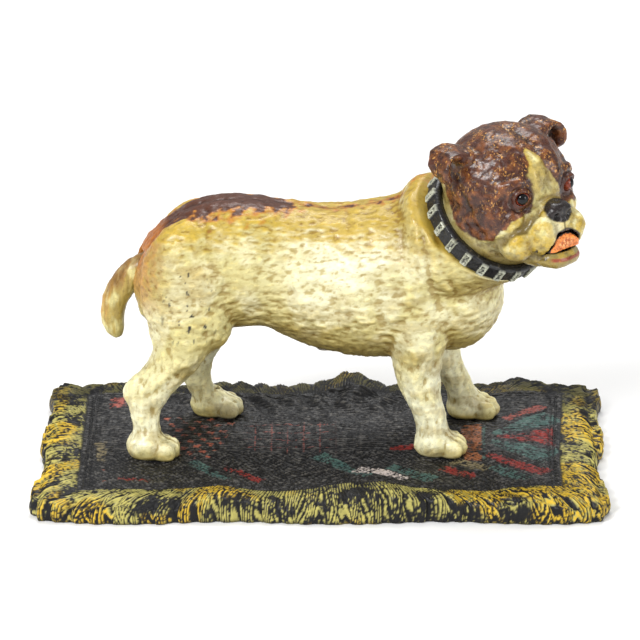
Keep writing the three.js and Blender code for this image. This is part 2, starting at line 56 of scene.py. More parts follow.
dogShift = np.array([0.0, 4.0, -1.5])  # the dog's own frame on the rug, in mm
scene = bpy.context.scene


# small mesh helpers, all in mm until a mesh is made

def unit(v):
    v = np.asarray(v, float)
    return v / np.linalg.norm(v)


def ringAcross(centre, axis, radiusA, radiusB=None, sides=40):
    axis = unit(axis)
    side = unit(np.cross((0, 1, 0), axis))
    other = np.cross(axis, side)
    angles = np.linspace(0, 2 * math.pi, sides, endpoint=False)
    radiusB = radiusA if radiusB is None else radiusB
    return centre + np.outer(np.cos(angles) * radiusA, side) + np.outer(np.sin(angles) * radiusB, other)


def loftMesh(rings):
    rings = [np.asarray(ring, float) for ring in rings]
    count = len(rings[0])
    verts = np.vstack(rings + [rings[0].mean(0), rings[-1].mean(0)])
    faces = []
    for row in range(len(rings) - 1):
        for k in range(count):
            a, b = row * count + k, row * count + (k + 1) % count
            faces.append((a, b, b + count, a + count))
    low, high = len(verts) - 2, len(verts) - 1
    last = (len(rings) - 1) * count
    for k in range(count):
        faces.append((low, (k + 1) % count, k))
        faces.append((high, last + k, last + (k + 1) % count))
    return verts, faces


def ellipsoidMesh(centre, radii, yaw=0.0, pitch=0.0, sides=28):
    rows = sides // 2
    rings = []
    for row in range(rows + 1):
        polar = math.pi * (row + 0.02) / (rows + 0.04)
        ring = [(math.sin(polar) * math.cos(a), math.sin(polar) * math.sin(a), -math.cos(polar))
                for a in np.linspace(0, 2 * math.pi, sides, endpoint=False)]
        rings.append(ring)
    verts, faces = loftMesh(rings)
    turn = Matrix.Rotation(yaw, 3, "Z") @ Matrix.Rotation(pitch, 3, "Y")
    verts = (verts * radii) @ np.array(turn).T + centre
    return verts, faces


def boxMesh(low, high):
    lo, hi = np.array(low, float), np.array(high, float)
    verts = np.array([[(lo, hi)[i][0], (lo, hi)[j][1], (lo, hi)[k][2]]
                      for i in (0, 1) for j in (0, 1) for k in (0, 1)])
    faces = [(0, 1, 3, 2), (4, 6, 7, 5), (0, 4, 5, 1), (2, 3, 7, 6), (0, 2, 6, 4), (1, 5, 7, 3)]
    return verts, faces


def rodMesh(start, end, radius, sides=24):
    start, end = np.array(start, float), np.array(end, float)
    axis = end - start
    helper = (0, 1, 0) if abs(unit(axis)[1]) < 0.9 else (1, 0, 0)
    side = unit(np.cross(helper, axis))
    other = np.cross(unit(axis), side)
    angles = np.linspace(0, 2 * math.pi, sides, endpoint=False)
    ring = np.outer(np.cos(angles) * radius, side) + np.outer(np.sin(angles) * radius, other)
    return loftMesh([start + ring, end + ring])


def tubeMesh(points, sides=28, flat=1.0):
    rings = []
    for i, point in enumerate(points):
        before, after = np.array(points[max(i - 1, 0)]), np.array(points[min(i + 1, len(points) - 1)])
        centre, run = np.array(point[:3], float), after[:3] - before[:3]
        rings.append(ringAcross(centre, run, point[3], point[3] * flat, sides))
    return loftMesh(rings)


def newMesh(name, parts):
    mesh = bpy.data.meshes.new(name)
    verts, faces, start = [], [], 0
    for partVerts, partFaces in parts:
        verts.extend(map(tuple, partVerts))
        faces.extend(tuple(index + start for index in face) for face in partFaces)
        start += len(partVerts)
    mesh.from_pydata(verts, [], faces)
    mesh.update()
    work = bmesh.new()
    work.from_mesh(mesh)
    bmesh.ops.triangulate(work, faces=[face for face in work.faces if len(face.verts) > 4])
    bmesh.ops.recalc_face_normals(work, faces=work.faces)
    work.to_mesh(mesh)
    work.free()
    piece = bpy.data.objects.new(name, mesh)
    scene.collection.objects.link(piece)
    return piece


def applied(piece):
    depsgraph = bpy.context.evaluated_depsgraph_get()
    mesh = bpy.data.meshes.new_from_object(piece.evaluated_get(depsgraph))
    old = piece.data
    piece.modifiers.clear()
    piece.data = mesh
    bpy.data.meshes.remove(old)
    return piece


def clay(name, parts, voxel):
    piece = newMesh(name, parts)
    remesh = piece.modifiers.new("clay", "REMESH")
    remesh.mode = "VOXEL"
    remesh.voxel_size = voxel
    remesh.adaptivity = 0.0
    return applied(piece)


def cutAway(piece, cutter, operation="DIFFERENCE"):
    cut = piece.modifiers.new("cut", "BOOLEAN")
    cut.operation = operation
    cut.solver = "MANIFOLD"
    cut.object = cutter
    applied(piece)
    bpy.data.objects.remove(cutter)
    return piece


def points(mesh):
    out = np.empty(len(mesh.vertices) * 3)
    mesh.vertices.foreach_get("co", out)
    return out.reshape(-1, 3)


def normals(mesh):
    out = np.empty(len(mesh.vertices) * 3)
    mesh.vertex_normals.foreach_get("vector", out)
    return out.reshape(-1, 3)


def setPoints(mesh, verts):
    mesh.vertices.foreach_set("co", np.ascontiguousarray(verts, dtype=np.float32).ravel())
    mesh.update()


def edgePairs(mesh):
    out = np.empty(len(mesh.edges) * 2, dtype=np.int32)
    mesh.edges.foreach_get("vertices", out)
    return out.reshape(-1, 2)


def relaxed(values, edges, rounds, amount=0.5):
    values = values.copy()
    count = len(values)
    degree = np.bincount(edges.ravel(), minlength=count).astype(float)
    degree[degree == 0] = 1
    columns = values.reshape(count, -1)
    for _ in range(rounds):
        for c in range(columns.shape[1]):
            total = np.bincount(edges[:, 0], weights=columns[edges[:, 1], c], minlength=count)
            total += np.bincount(edges[:, 1], weights=columns[edges[:, 0], c], minlength=count)
            columns[:, c] += (total / degree - columns[:, c]) * amount
    return columns.reshape(values.shape)


def pathDistance(verts, path):
    path = np.asarray(path, float)
    best = np.full(len(verts), 1e9)
    for a, b in zip(path[:-1], path[1:]):
        ab = b - a
        t = np.clip(((verts - a) @ ab) / (ab @ ab), 0, 1)
        best = np.minimum(best, np.linalg.norm(verts - (a + t[:, None] * ab), axis=1))
    return best


def bump(value, centre, width):
    return np.exp(-((value - centre) / width) ** 2)


def ramp(value, low, high):
    t = np.clip((value - low) / (high - low), 0, 1)
    return t * t * (3 - 2 * t)


def distanceTo(verts, place):
    return np.linalg.norm(verts - place, axis=1)


def grain(verts, scale, octaves=2, seed=0.0):
    scaled = verts * np.asarray(scale) + seed
    return np.array([noise.fractal(Vector(p), 0.9, 2.1, octaves) for p in scaled])


def setAttribute(mesh, name, values):
    if values.ndim == 1:
        layer = mesh.attributes.new(name, "FLOAT", "POINT")
        layer.data.foreach_set("value", values.astype(np.float32))
    else:
        layer = mesh.attributes.new(name, "FLOAT_COLOR", "POINT")
        full = np.ones((len(values), 4), dtype=np.float32)
        full[:, :3] = values
        layer.data.foreach_set("color", full.ravel())


def nearestIndex(source, target):
    tree = kdtree.KDTree(len(source))
    for i, point in enumerate(source):
        tree.insert(point, i)
    tree.balance()
    found = [tree.find(point) for point in target]
    return np.array([hit[1] for hit in found]), np.array([hit[2] for hit in found])


def finishPiece(piece, shift=dogShift):
    setPoints(piece.data, (points(piece.data) + shift) * mm)
    piece.data.polygons.foreach_set("use_smooth", [True] * len(piece.data.polygons))
    piece.data.update()
    return piece


# camera, floor and light

studio = {"target": (0.0, 0.0, 0.0585), "distance": 1.848, "elevation": 21.0, "lens": 270.0}

elevation = math.radians(studio["elevation"])
camera = bpy.data.objects.new("studioCamera", bpy.data.cameras.new("studioCamera"))
camera.data.lens = studio["lens"]
camera.data.sensor_width = 36
camera.data.clip_end = 20
sight = Vector((0, -math.cos(elevation), math.sin(elevation)))
camera.location = Vector(studio["target"]) + studio["distance"] * sight
camera.rotation_euler = (math.pi / 2 - elevation, 0, 0)
scene.collection.objects.link(camera)
scene.camera = camera


def paleFloor():
    mesh = bpy.data.meshes.new("paleFloor")
    mesh.from_pydata([(-6, -6, 0), (6, -6, 0), (6, 6, 0), (-6, 6, 0)], [], [(0, 1, 2, 3)])
    floor = bpy.data.objects.new("paleFloor", mesh)
    floor.location.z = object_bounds()[0][2] - 0.0003
    material = bpy.data.materials.new("paleFloor")
    material.use_nodes = True
    shader = material.node_tree.nodes["Principled BSDF"]
    shader.inputs["Base Color"].default_value = (0.92, 0.92, 0.92, 1)
    shader.inputs["Roughness"].default_value = 0.8
    mesh.materials.append(material)
    scene.collection.objects.link(floor)
    floor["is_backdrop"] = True


def softLight(name, place, size, power, tint=(1, 1, 1)):
    lamp = bpy.data.lights.new(name, "AREA")
    lamp.shape = "RECTANGLE"
    lamp.size, lamp.size_y = size
    lamp.energy = power
    lamp.color = tint
    light = bpy.data.objects.new(name, lamp)
    light.location = place
    light.rotation_euler = (Vector((0, 0, 0.06)) - Vector(place)).to_track_quat("-Z", "Y").to_euler()
    scene.collection.objects.link(light)


paleFloor()
softLight("keyLight", (-0.7, -0.9, 1.0), (0.5, 0.5), 17)
softLight("fillLight", (1.1, -0.7, 0.5), (0.6, 0.6), 5)
softLight("topLight", (0.1, 0.5, 1.2), (0.8, 0.5), 9)
world = bpy.data.worlds.new("paleRoom")
world.use_nodes = True
world.node_tree.nodes["Background"].inputs["Color"].default_value = (1, 1, 1, 1)
world.node_tree.nodes["Background"].inputs["Strength"].default_value = 0.46
scene.world = world
scene.view_settings.view_transform = "Standard"
print("camera and lights set")


# shader building

class Nodes:
    def __init__(self, tree):
        self.tree = tree

    def add(self, kind, **settings):
        node = self.tree.nodes.new(kind)
        for key, value in settings.items():
            setattr(node, key, value)
        return node

    def link(self, output, target):
        self.tree.links.new(output, target)

    def feed(self, socket, value):
        if isinstance(value, bpy.types.NodeSocket):
            self.link(value, socket)
        elif isinstance(value, tuple) and len(value) == 3:
            socket.default_value = (*value, 1)
        else:
            socket.default_value = value

    def attribute(self, name, channel="Fac"):
        return self.add("ShaderNodeAttribute", attribute_name=name).outputs[channel]

    def place(self):
        return self.add("ShaderNodeTexCoord").outputs["Object"]

    def scaled(self, vector, scale):
        node = self.add("ShaderNodeMapping")
        self.link(vector, node.inputs["Vector"])
        if isinstance(scale, bpy.types.NodeSocket):
            self.link(scale, node.inputs["Scale"])
        else:
            node.inputs["Scale"].default_value = scale
        return node.outputs["Vector"]

    def noise(self, vector, scale, detail=4.0, roughness=0.6, distortion=0.0):
        node = self.add("ShaderNodeTexNoise")
        self.link(vector, node.inputs["Vector"])
        self.feed(node.inputs["Scale"], scale)
        node.inputs["Detail"].default_value = detail
        node.inputs["Roughness"].default_value = roughness
        node.inputs["Distortion"].default_value = distortion
        return node.outputs["Fac"]

    def cells(self, vector, scale):
        node = self.add("ShaderNodeTexVoronoi")
        self.link(vector, node.inputs["Vector"])
        node.inputs["Scale"].default_value = scale
        return node.outputs["Distance"]

    def step(self, value, low, high, outLow=0.0, outHigh=1.0):
        node = self.add("ShaderNodeMapRange", interpolation_type="SMOOTHSTEP")
        self.feed(node.inputs["Value"], value)
        node.inputs["From Min"].default_value = low
        node.inputs["From Max"].default_value = high
        self.feed(node.inputs["To Min"], outLow)
        self.feed(node.inputs["To Max"], outHigh)
        return node.outputs["Result"]

    def math(self, operation, a, b=0.0):
        node = self.add("ShaderNodeMath", operation=operation)
        self.feed(node.inputs[0], a)
        self.feed(node.inputs[1], b)
        return node.outputs[0]

    def mix(self, factor, a, b, blend="MIX"):
        node = self.add("ShaderNodeMix", data_type="RGBA", blend_type=blend)
        self.feed(node.inputs[0], factor)
        self.feed(node.inputs[6], a)
        self.feed(node.inputs[7], b)
        return node.outputs[2]

    def bump(self, height, strength, distance):
        node = self.add("ShaderNodeBump")
        self.feed(node.inputs["Height"], height)
        node.inputs["Strength"].default_value = strength
        node.inputs["Distance"].default_value = distance
        return node.outputs["Normal"]


socketKinds = {"colour": "NodeSocketColor", "value": "NodeSocketFloat", "vector": "NodeSocketVector"}


def startGroup(name, given, made):
    tree = bpy.data.node_groups.new(name, "ShaderNodeTree")
    for label, kind in given.items():
        tree.interface.new_socket(label, in_out="INPUT", socket_type=socketKinds[kind])
    for label, kind in made.items():
        tree.interface.new_socket(label, in_out="OUTPUT", socket_type=socketKinds[kind])
    n = Nodes(tree)
    return n, n.add("NodeGroupInput").outputs, n.add("NodeGroupOutput").inputs


def startMaterial(name):
    material = bpy.data.materials.new(name)
    material.use_nodes = True
    return material, Nodes(material.node_tree), material.node_tree.nodes["Principled BSDF"]


# enamel over rough cast iron: painted zones, a dark wash with painted shade in the hollows, chips, and rubbed
# ridges lightened by rubbed wear and a painted highlight
def enamelGroup():
    wanted = {
        "Paint": "colour", "Relief": "value", "Flecks": "value",
        "Wash Colour": "colour", "Dot Colour": "colour",
        "Stroke Scale": "vector", "Wash": "value", "Streaks": "value", "Rub": "value", "Gloss": "value",
    }
    results = {"Colour": "colour", "Roughness": "value", "Normal": "vector"}
    n, given, made = startGroup("wornEnamel", wanted, results)
    place = n.place()
    colour, relief = given["Paint"], given["Relief"]
    stroke = n.noise(n.scaled(place, given["Stroke Scale"]), 1.0, 3.0, 0.65, 0.4)
    blotch = n.noise(place, 120.0, 4.0, 0.6, 0.2)
    fine = n.noise(place, 1500.0, 3.0, 0.7)
    paler = n.mix(1.0, colour, (1.3, 1.25, 1.15), "MULTIPLY")
    light = n.mix(n.step(blotch, 0.35, 0.7, 0.0, 0.35), colour, paler)
    # hollows take the wash colour: partly a real dark wash, partly painted shade
    hollow = n.math("MULTIPLY", n.step(relief, 0.52, 0.3), given["Wash"])
    washed = n.mix(hollow, light, given["Wash Colour"], "MULTIPLY")
    streak = n.math("MULTIPLY", n.step(stroke, 0.5, 0.68), given["Streaks"])
    streaked = n.mix(streak, washed, given["Wash Colour"], "MULTIPLY")
    clusters = n.step(n.noise(place, 90.0), 0.5, 0.62)
    dots = n.math("MULTIPLY", n.step(n.cells(place, 900.0), 0.16, 0.05), clusters)
    dotted = n.mix(n.math("MULTIPLY", dots, 0.75), streaked, given["Dot Colour"])
    chips = n.step(n.noise(n.scaled(place, (1.0, 1.0, 0.6)), 1300.0, 2.0, 0.55, 0.6), 0.57, 0.63)
    chipped = n.math("MULTIPLY", n.math("MULTIPLY", chips, given["Flecks"]), 0.85)
    flecked = n.mix(chipped, dotted, n.mix(blotch, (0.42, 0.16, 0.02), (0.75, 0.42, 0.12)))
    # ridges are lightened: partly rubbed wear, partly a painted highlight
    ridge = n.math("MULTIPLY", n.step(relief, 0.55, 0.8), given["Rub"])
    rubbed = n.mix(ridge, flecked, n.mix(1.0, flecked, (1.45, 1.42, 1.32), "MULTIPLY"))
    n.link(rubbed, made["Colour"])
    n.link(n.step(fine, 0.3, 0.7, given["Gloss"], n.math("ADD", given["Gloss"], 0.22)), made["Roughness"])
    height = n.math("ADD", n.math("MULTIPLY", stroke, 0.7), n.math("MULTIPLY", fine, 0.3))
    n.link(n.bump(height, 0.5, 0.00025), made["Normal"])
    return n.tree


# small scuffs and pits of bare or blackened metal
def scuffGroup():
    n, given, made = startGroup("scuffs", {"Size": "value"}, {"Marks": "value", "Normal": "vector"})
    marks = n.noise(n.place(), given["Size"], 5.0, 0.65, 0.3)
    n.link(marks, made["Marks"])
    n.link(n.bump(marks, 0.4, 0.0001), made["Normal"])
    return n.tree


wornEnamel = enamelGroup()
scuffs = scuffGroup()


plainCoat = {"wash": 0.5, "gloss": 0.2, "rub": 0.6, "streaks": 0.5, "shine": 0.5}


def castPaint(name, washColour, dotColour, strokeScale, **changes):
    look = {**plainCoat, **changes}
    material, n, shader = startMaterial(name)
    shader.inputs["Specular IOR Level"].default_value = look["shine"]
    enamel = n.add("ShaderNodeGroup", node_tree=wornEnamel)
    n.link(n.attribute("paint", "Color"), enamel.inputs["Paint"])
    n.link(n.attribute("relief"), enamel.inputs["Relief"])
    n.link(n.attribute("flecks"), enamel.inputs["Flecks"])
    enamel.inputs["Stroke Scale"].default_value = strokeScale
    n.feed(enamel.inputs["Wash Colour"], washColour)
    n.feed(enamel.inputs["Dot Colour"], dotColour)
    for label in ("Wash", "Streaks", "Rub", "Gloss"):
        n.feed(enamel.inputs[label], look[label.lower()])
    n.link(enamel.outputs["Colour"], shader.inputs["Base Color"])
    n.link(enamel.outputs["Roughness"], shader.inputs["Roughness"])
    n.link(enamel.outputs["Normal"], shader.inputs["Normal"])
    return material


def plainMaterial(name, colour, roughness, metallic=0.0, scuff=0.0, scuffColour=(0.3, 0.3, 0.3), size=700.0):
    material, n, shader = startMaterial(name)
    wear = n.add("ShaderNodeGroup", node_tree=scuffs)
    wear.inputs["Size"].default_value = size
    marks = wear.outputs["Marks"]
    n.link(n.mix(n.step(marks, 0.52, 0.68, 0.0, scuff), colour, scuffColour), shader.inputs["Base Color"])
    n.link(n.step(marks, 0.3, 0.7, roughness, min(roughness + 0.2, 1.0)), shader.inputs["Roughness"])
    n.link(wear.outputs["Normal"], shader.inputs["Normal"])
    shader.inputs["Metallic"].default_value = metallic
    return material
# the dog's body

body = {
    "voxel": 0.62,
    "stations": [  # x, back, belly, half width
        (-71.4, 82, 69, 6), (-69.6, 87, 63, 11.5), (-66, 92.6, 58.5, 16.5), (-60, 99.0, 56, 20.2),
        (-52, 104.4, 55, 22.2), (-43, 107.6, 55.5, 22.8), (-33, 109.0, 57.5, 21.8), (-22, 108.2, 57.5, 20.2),
        (-12, 106.4, 52.6, 20.0), (-2, 105.2, 48.4, 21.6), (9, 105.2, 46.0, 23.6), (20, 106.8, 45.0, 24.8),
        (31, 109.2, 45.4, 25.4), (42, 108.2, 47.2, 24.8), (52, 102, 50.5, 22), (60, 92, 54.5, 18),
        (66, 83, 61, 10),
    ],
    "hindLeg": [  # x, height, half length, half width
        (-66.0, 12, 6.2, 6.4), (-66.2, 17, 5.6, 5.6), (-66.8, 23, 5.4, 5.0), (-67.0, 28, 6.2, 5.2),
        (-66.2, 33, 8.2, 5.8), (-64.4, 37.5, 9.8, 6.6), (-60.6, 42, 10.4, 7.6), (-56.0, 47, 10.6, 9.0),
        (-52.8, 53, 11.4, 10.4), (-51.6, 60, 14.4, 11.4), (-51.4, 68, 17.4, 11.8), (-51.0, 80, 18.0, 10.5),
    ],
    "foreLeg": [
        (45.0, 12, 6.6, 6.6), (44.2, 17, 6.4, 6.2), (43.2, 22, 6.2, 5.8), (41.8, 27, 6.4, 6.0),
        (39.8, 32, 7.2, 6.6), (38.4, 37, 7.8, 7.2), (37.6, 43, 8.8, 8.0), (37.2, 49, 9.8, 9.0),
        (37.4, 57, 11.8, 10.4), (37.4, 66, 14.0, 11.2), (37.4, 78, 15.4, 10.8),
    ],
    "paws": {  # x, y, turn
        "rightHind": (-64.6, -21.4, 0.05), "rightFore": (46.0, -18.4, 0.0),
        "leftHind": (-41.0, 22.4, 0.0), "leftFore": (59.4, 20.4, 0.1),
    },
    "sole": 10.75,
    "screws": [(27, 78, 21.2), (-30, 78, 17.4)],  # x, height, seat of the head from the middle
}

ringCentre = np.array([63.8, -8.0, 102.6])
neckAxis = unit((0.516, -0.45, 0.725))
landing = 22.2
tailPivot = np.array([-63.5, 0.0, 82.5])
trap = {"centre": (17, 2.5), "radius": 10.5, "pivot": (2, 2.5), "seat": 49.2}


def onNeck(distance):
    return ringCentre + neckAxis * distance


def torsoRings(stations, inset=0.0, sides=56):
    rings = []
    for x, back, belly, half in stations:
        angles = np.linspace(0, 2 * math.pi, sides, endpoint=False)
        c, s = np.cos(angles), np.sin(angles)
        squarer = 0.9
        y = np.sign(c) * np.abs(c) ** squarer * (half - inset)
        z = (back + belly) / 2 + np.sign(s) * np.abs(s) ** squarer * ((back - belly) / 2 - inset)
        rings.append(np.column_stack([np.full(sides, float(x)), y, z]))
    return rings


def legRings(stations, side, offset, forward, lean, sides=28):
    rings = []
    for x, z, halfLength, halfWidth in stations:
        rise = min(max((z - 13) / 55, 0), 1)
        cx, cy = x + forward * (1 - rise ** 1.2), side * (offset - lean * rise)
        angles = np.linspace(0, 2 * math.pi, sides, endpoint=False)
        rings.append(np.column_stack([cx + np.cos(angles) * halfLength, cy + np.sin(angles) * halfWidth,
                                      np.full(sides, float(z))]))
    return rings


def pawParts(x, y, turn):
    parts = [ellipsoidMesh((x - 1.6, y, body["sole"] + 4.2), (8.4, 7.2, 6.8), turn)]
    for i, across in enumerate((-5.3, -1.85, 1.85, 5.3)):
        reach = 6.6 if i in (1, 2) else 4.6
        cx = x + math.cos(turn) * reach - math.sin(turn) * across
        cy = y + math.sin(turn) * reach + math.cos(turn) * across
        toe = (cx, cy, body["sole"] + 3.0)
        parts.append(ellipsoidMesh(toe, (4.5, 2.35, 4.3), turn + across * 0.03, 0.12))
    return parts


def bodyClay():
    parts = [loftMesh(torsoRings(body["stations"]))]
    neck = [
        ringAcross(np.array([32.0, 0, 82]), (1, 0, 0.1), 25),
        ringAcross(np.array([41.0, -0.6, 88]), (0.95, -0.12, 0.35), 26.0),
        ringAcross(np.array([49.0, -2.8, 94]), (0.8, -0.28, 0.5), 26.2),
        ringAcross(np.array([55.6, -5.0, 98]), (0.65, -0.38, 0.64), 25.4),
        ringAcross(onNeck(-4.4), neckAxis, 25.0),
        ringAcross(onNeck(-3.9), neckAxis, landing),
        ringAcross(onNeck(-0.15), neckAxis, landing),
    ]
    parts.append(loftMesh(neck))
    parts.append(loftMesh(legRings(body["hindLeg"], -1, 21.4, 0, 8.4)))
    parts.append(loftMesh(legRings(body["foreLeg"], -1, 18.4, 0, 4.5)))
    parts.append(loftMesh(legRings(body["hindLeg"], 1, 22.4, 23, 8.4)))
    parts.append(loftMesh(legRings(body["foreLeg"], 1, 20.4, 13.5, 4.5)))
    for place in body["paws"].values():
        parts.extend(pawParts(*place))
    parts.append(ellipsoidMesh((50.5, 0, 71.5), (20.5, 22.0, 24), 0, 0.1))  # chest
    for side, hindX, foreX in ((-1, -51, 37), (1, -47, 41)):
        parts.append(ellipsoidMesh((hindX, side * 12.6, 80), (18.0, 11.8, 24), 0, 0.12))  # haunch
        parts.append(ellipsoidMesh((hindX + 4, side * 14.5, 66), (13, 9.6, 16), 0, -0.5))  # thigh
        parts.append(ellipsoidMesh((foreX, side * 14.2, 80), (15.5, 12.0, 23), 0, 0.15))  # shoulder
        parts.append(ellipsoidMesh((foreX + 1, side * 16, 58), (10.5, 9.8, 15)))  # upper arm
    for paw, hockX in (("rightHind", -70.6), ("leftHind", -52.1)):
        hockY = body["paws"][paw][1] * 0.86
        parts.append(ellipsoidMesh((hockX, hockY, 36.5), (5.2, 4.4, 6.4), 0, 0.35))
    piece = clay("bodyClay", parts, body["voxel"])
    verts = points(piece.data)
    edges = edgePairs(piece.data)
    keepLanding = ramp((verts - ringCentre) @ neckAxis, -7.0, -4.6)
    paws = ramp(verts[:, 2], 22, 15) * 0.75
    hold = np.maximum(keepLanding, paws)[:, None]
    smoothed = relaxed(verts, edges, 26)
    verts = verts * hold + smoothed * (1 - hold)
    verts = relaxed(verts, edges, 1, 0.4)
    setPoints(piece.data, verts)
    return piece


# strokes of the modelling tool, worked on both sides: path, width, height (minus cuts in)
bodyStrokes = [
    ([(-30, -22, 66), (-36, -21, 76), (-40, -20, 88)], 3.2, -0.9),  # front of the haunch
    ([(-34, -20, 60), (-26, -18, 62), (-16, -18, 58)], 3.0, -0.7),  # flank fold
    ([(-31, -20, 62), (-21, -19, 66), (-12, -20, 62), (-4, -21, 56)], 2.2, 0.6),
    ([(-70, -10, 66), (-64, -19, 62), (-56, -24, 60)], 2.6, -0.5),
    ([(-60, -25, 52), (-52, -25, 49), (-44, -24, 50)], 2.6, 0.5),  # knee
    ([(-62, -22, 44), (-58, -24, 50), (-58, -25, 60)], 1.8, -0.6),
    ([(-66, -24, 36), (-60, -25, 40), (-54, -24, 46)], 2.0, -0.45),
    ([(-64, -24, 30), (-61, -24, 26)], 1.5, -0.4),
    ([(18, -24, 100), (22, -26, 88), (22, -26, 74), (24, -25, 60)], 3.0, -0.9),  # behind the shoulder
    ([(30, -25, 102), (33, -27, 90), (34, -27, 76)], 2.4, 0.7),
    ([(38, -24, 106), (40, -27, 94), (42, -26, 82), (46, -24, 72)], 1.8, -0.8),  # neck folds
    ([(32, -24, 108), (35, -27, 98), (37, -27, 88)], 1.5, -0.55),
    ([(44, -24, 102), (46, -27, 92), (50, -26, 82), (54, -23, 74)], 1.6, -0.7),
    ([(27, -23, 106), (28, -26, 96), (29, -27, 86)], 1.4, -0.45),
    ([(50, -24, 70), (56, -20, 66), (62, -12, 62)], 2.2, -0.6),  # breast
    ([(46, -24, 62), (44, -25, 54), (46, -24, 46)], 2.4, -0.5),
    ([(30, -25, 58), (36, -27, 54), (44, -26, 56)], 2.6, 0.5),  # elbow
    ([(28, -22, 50), (33, -24, 47), (40, -25, 48)], 1.8, -0.5),
    ([(36, -24, 42), (38, -25, 34), (42, -25, 28)], 1.6, 0.35),
    ([(34, -24, 36), (38, -24.5, 31), (45, -24, 30)], 1.6, -0.4),
    ([(-6, -20, 96), (2, -22, 84), (6, -23, 70), (10, -22, 58)], 5.0, -0.5),  # ribs
    ([(10, -23, 94), (13, -25, 82), (15, -25, 68)], 3.4, 0.35),
    ([(-18, -20, 92), (-10, -20, 82), (-4, -21, 68)], 3.6, 0.35),
    ([(-60, 0, 104), (-30, 0, 110), (0, 0, 106), (30, 0, 110)], 2.2, -0.35),  # spine
]


def sculptBody(piece):
    mesh = piece.data
    verts, norms = points(mesh), normals(mesh)
    for path, width, height in bodyStrokes:
        for side in (-1, 1):
            line = np.array(path, float) * (1, -side, 1)
            if side > 0:  # the left legs stand further forward
                low = np.clip((66 - line[:, 2]) / 50, 0, 1)
                line[:, 0] += low * np.where(line[:, 0] < -20, 20, np.where(line[:, 0] > 26, 12, 0))
            away = pathDistance(verts, line)
            verts = verts + norms * (height * np.exp(-(away / width) ** 2))[:, None]
    for x, y, turn in body["paws"].values():  # grooves between the toes
        for across in (-3.6, 0.0, 3.6):
            line = []
            for reach, height in ((3.0, 9.6), (7.5, 7.4), (11.5, 4.2), (11.5, 1.0)):
                line.append((x + math.cos(turn) * reach - math.sin(turn) * across,
                             y + math.sin(turn) * reach + math.cos(turn) * across, body["sole"] + height))
            away = pathDistance(verts, line)
            verts = verts - norms * (0.75 * np.exp(-(away / 0.95) ** 2))[:, None]
    legs = ramp(verts[:, 2], 62, 48)
    lengthwise = grain(verts, (0.24, 0.46, 0.46), 3)
    upright = grain(verts, (0.46, 0.46, 0.24), 3, 40.0)
    coarse = grain(verts, 0.085, 3, 11.0)
    fur = lengthwise * (1 - legs) + upright * legs
    nearCollar = ramp((verts - ringCentre) @ neckAxis, -4.6, -6.5)
    keep = nearCollar * ramp(verts[:, 2], body["sole"] + 0.2, body["sole"] + 2.5)
    verts = verts + norms * ((fur * 0.36 + coarse * 0.6) * keep)[:, None]
    verts[:, 2] = np.maximum(verts[:, 2], body["sole"])
    setPoints(mesh, verts)


def reliefOf(mesh, rounds=10, depth=0.22):
    verts, norms, edges = points(mesh), normals(mesh), edgePairs(mesh)
    fine = ((verts - relaxed(verts, edges, rounds)) * norms).sum(1) / depth
    broad = ((verts - relaxed(verts, edges, rounds * 5)) * norms).sum(1) / (depth * 3.2)
    return np.clip(0.5 + fine * 0.5 + broad * 0.35, 0, 1)


colours = {
    "cream": (0.58, 0.52, 0.23), "white": (0.84, 0.83, 0.60), "ochre": (0.34, 0.235, 0.04),
    "gold": (0.43, 0.29, 0.02),
    "rust": (0.42, 0.14, 0.02), "darkBrown": (0.060, 0.016, 0.008), "olive": (0.20, 0.15, 0.045),
    "black": (0.012, 0.011, 0.010), "iron": (0.05, 0.045, 0.04),
}


def coated(name, count):
    return np.tile(np.array(colours[name]), (count, 1))


def mixed(colour, other, amount):
    return colour * (1 - amount[:, None]) + other * amount[:, None]


def blend(colour, name, amount):
    return mixed(colour, np.array(colours[name]), amount)


# after the cuts, each point takes the paint of the nearest old one, and new inner walls are bare iron
def carryPaint(mesh, source, paint, relief, near, far):
    index, away = nearestIndex(source, points(mesh))
    inside = ramp(away, near, far)
    setAttribute(mesh, "paint", blend(paint[index], "iron", inside))
    setAttribute(mesh, "relief", relief[index] * (1 - inside) + 0.5 * inside)
    return index, inside


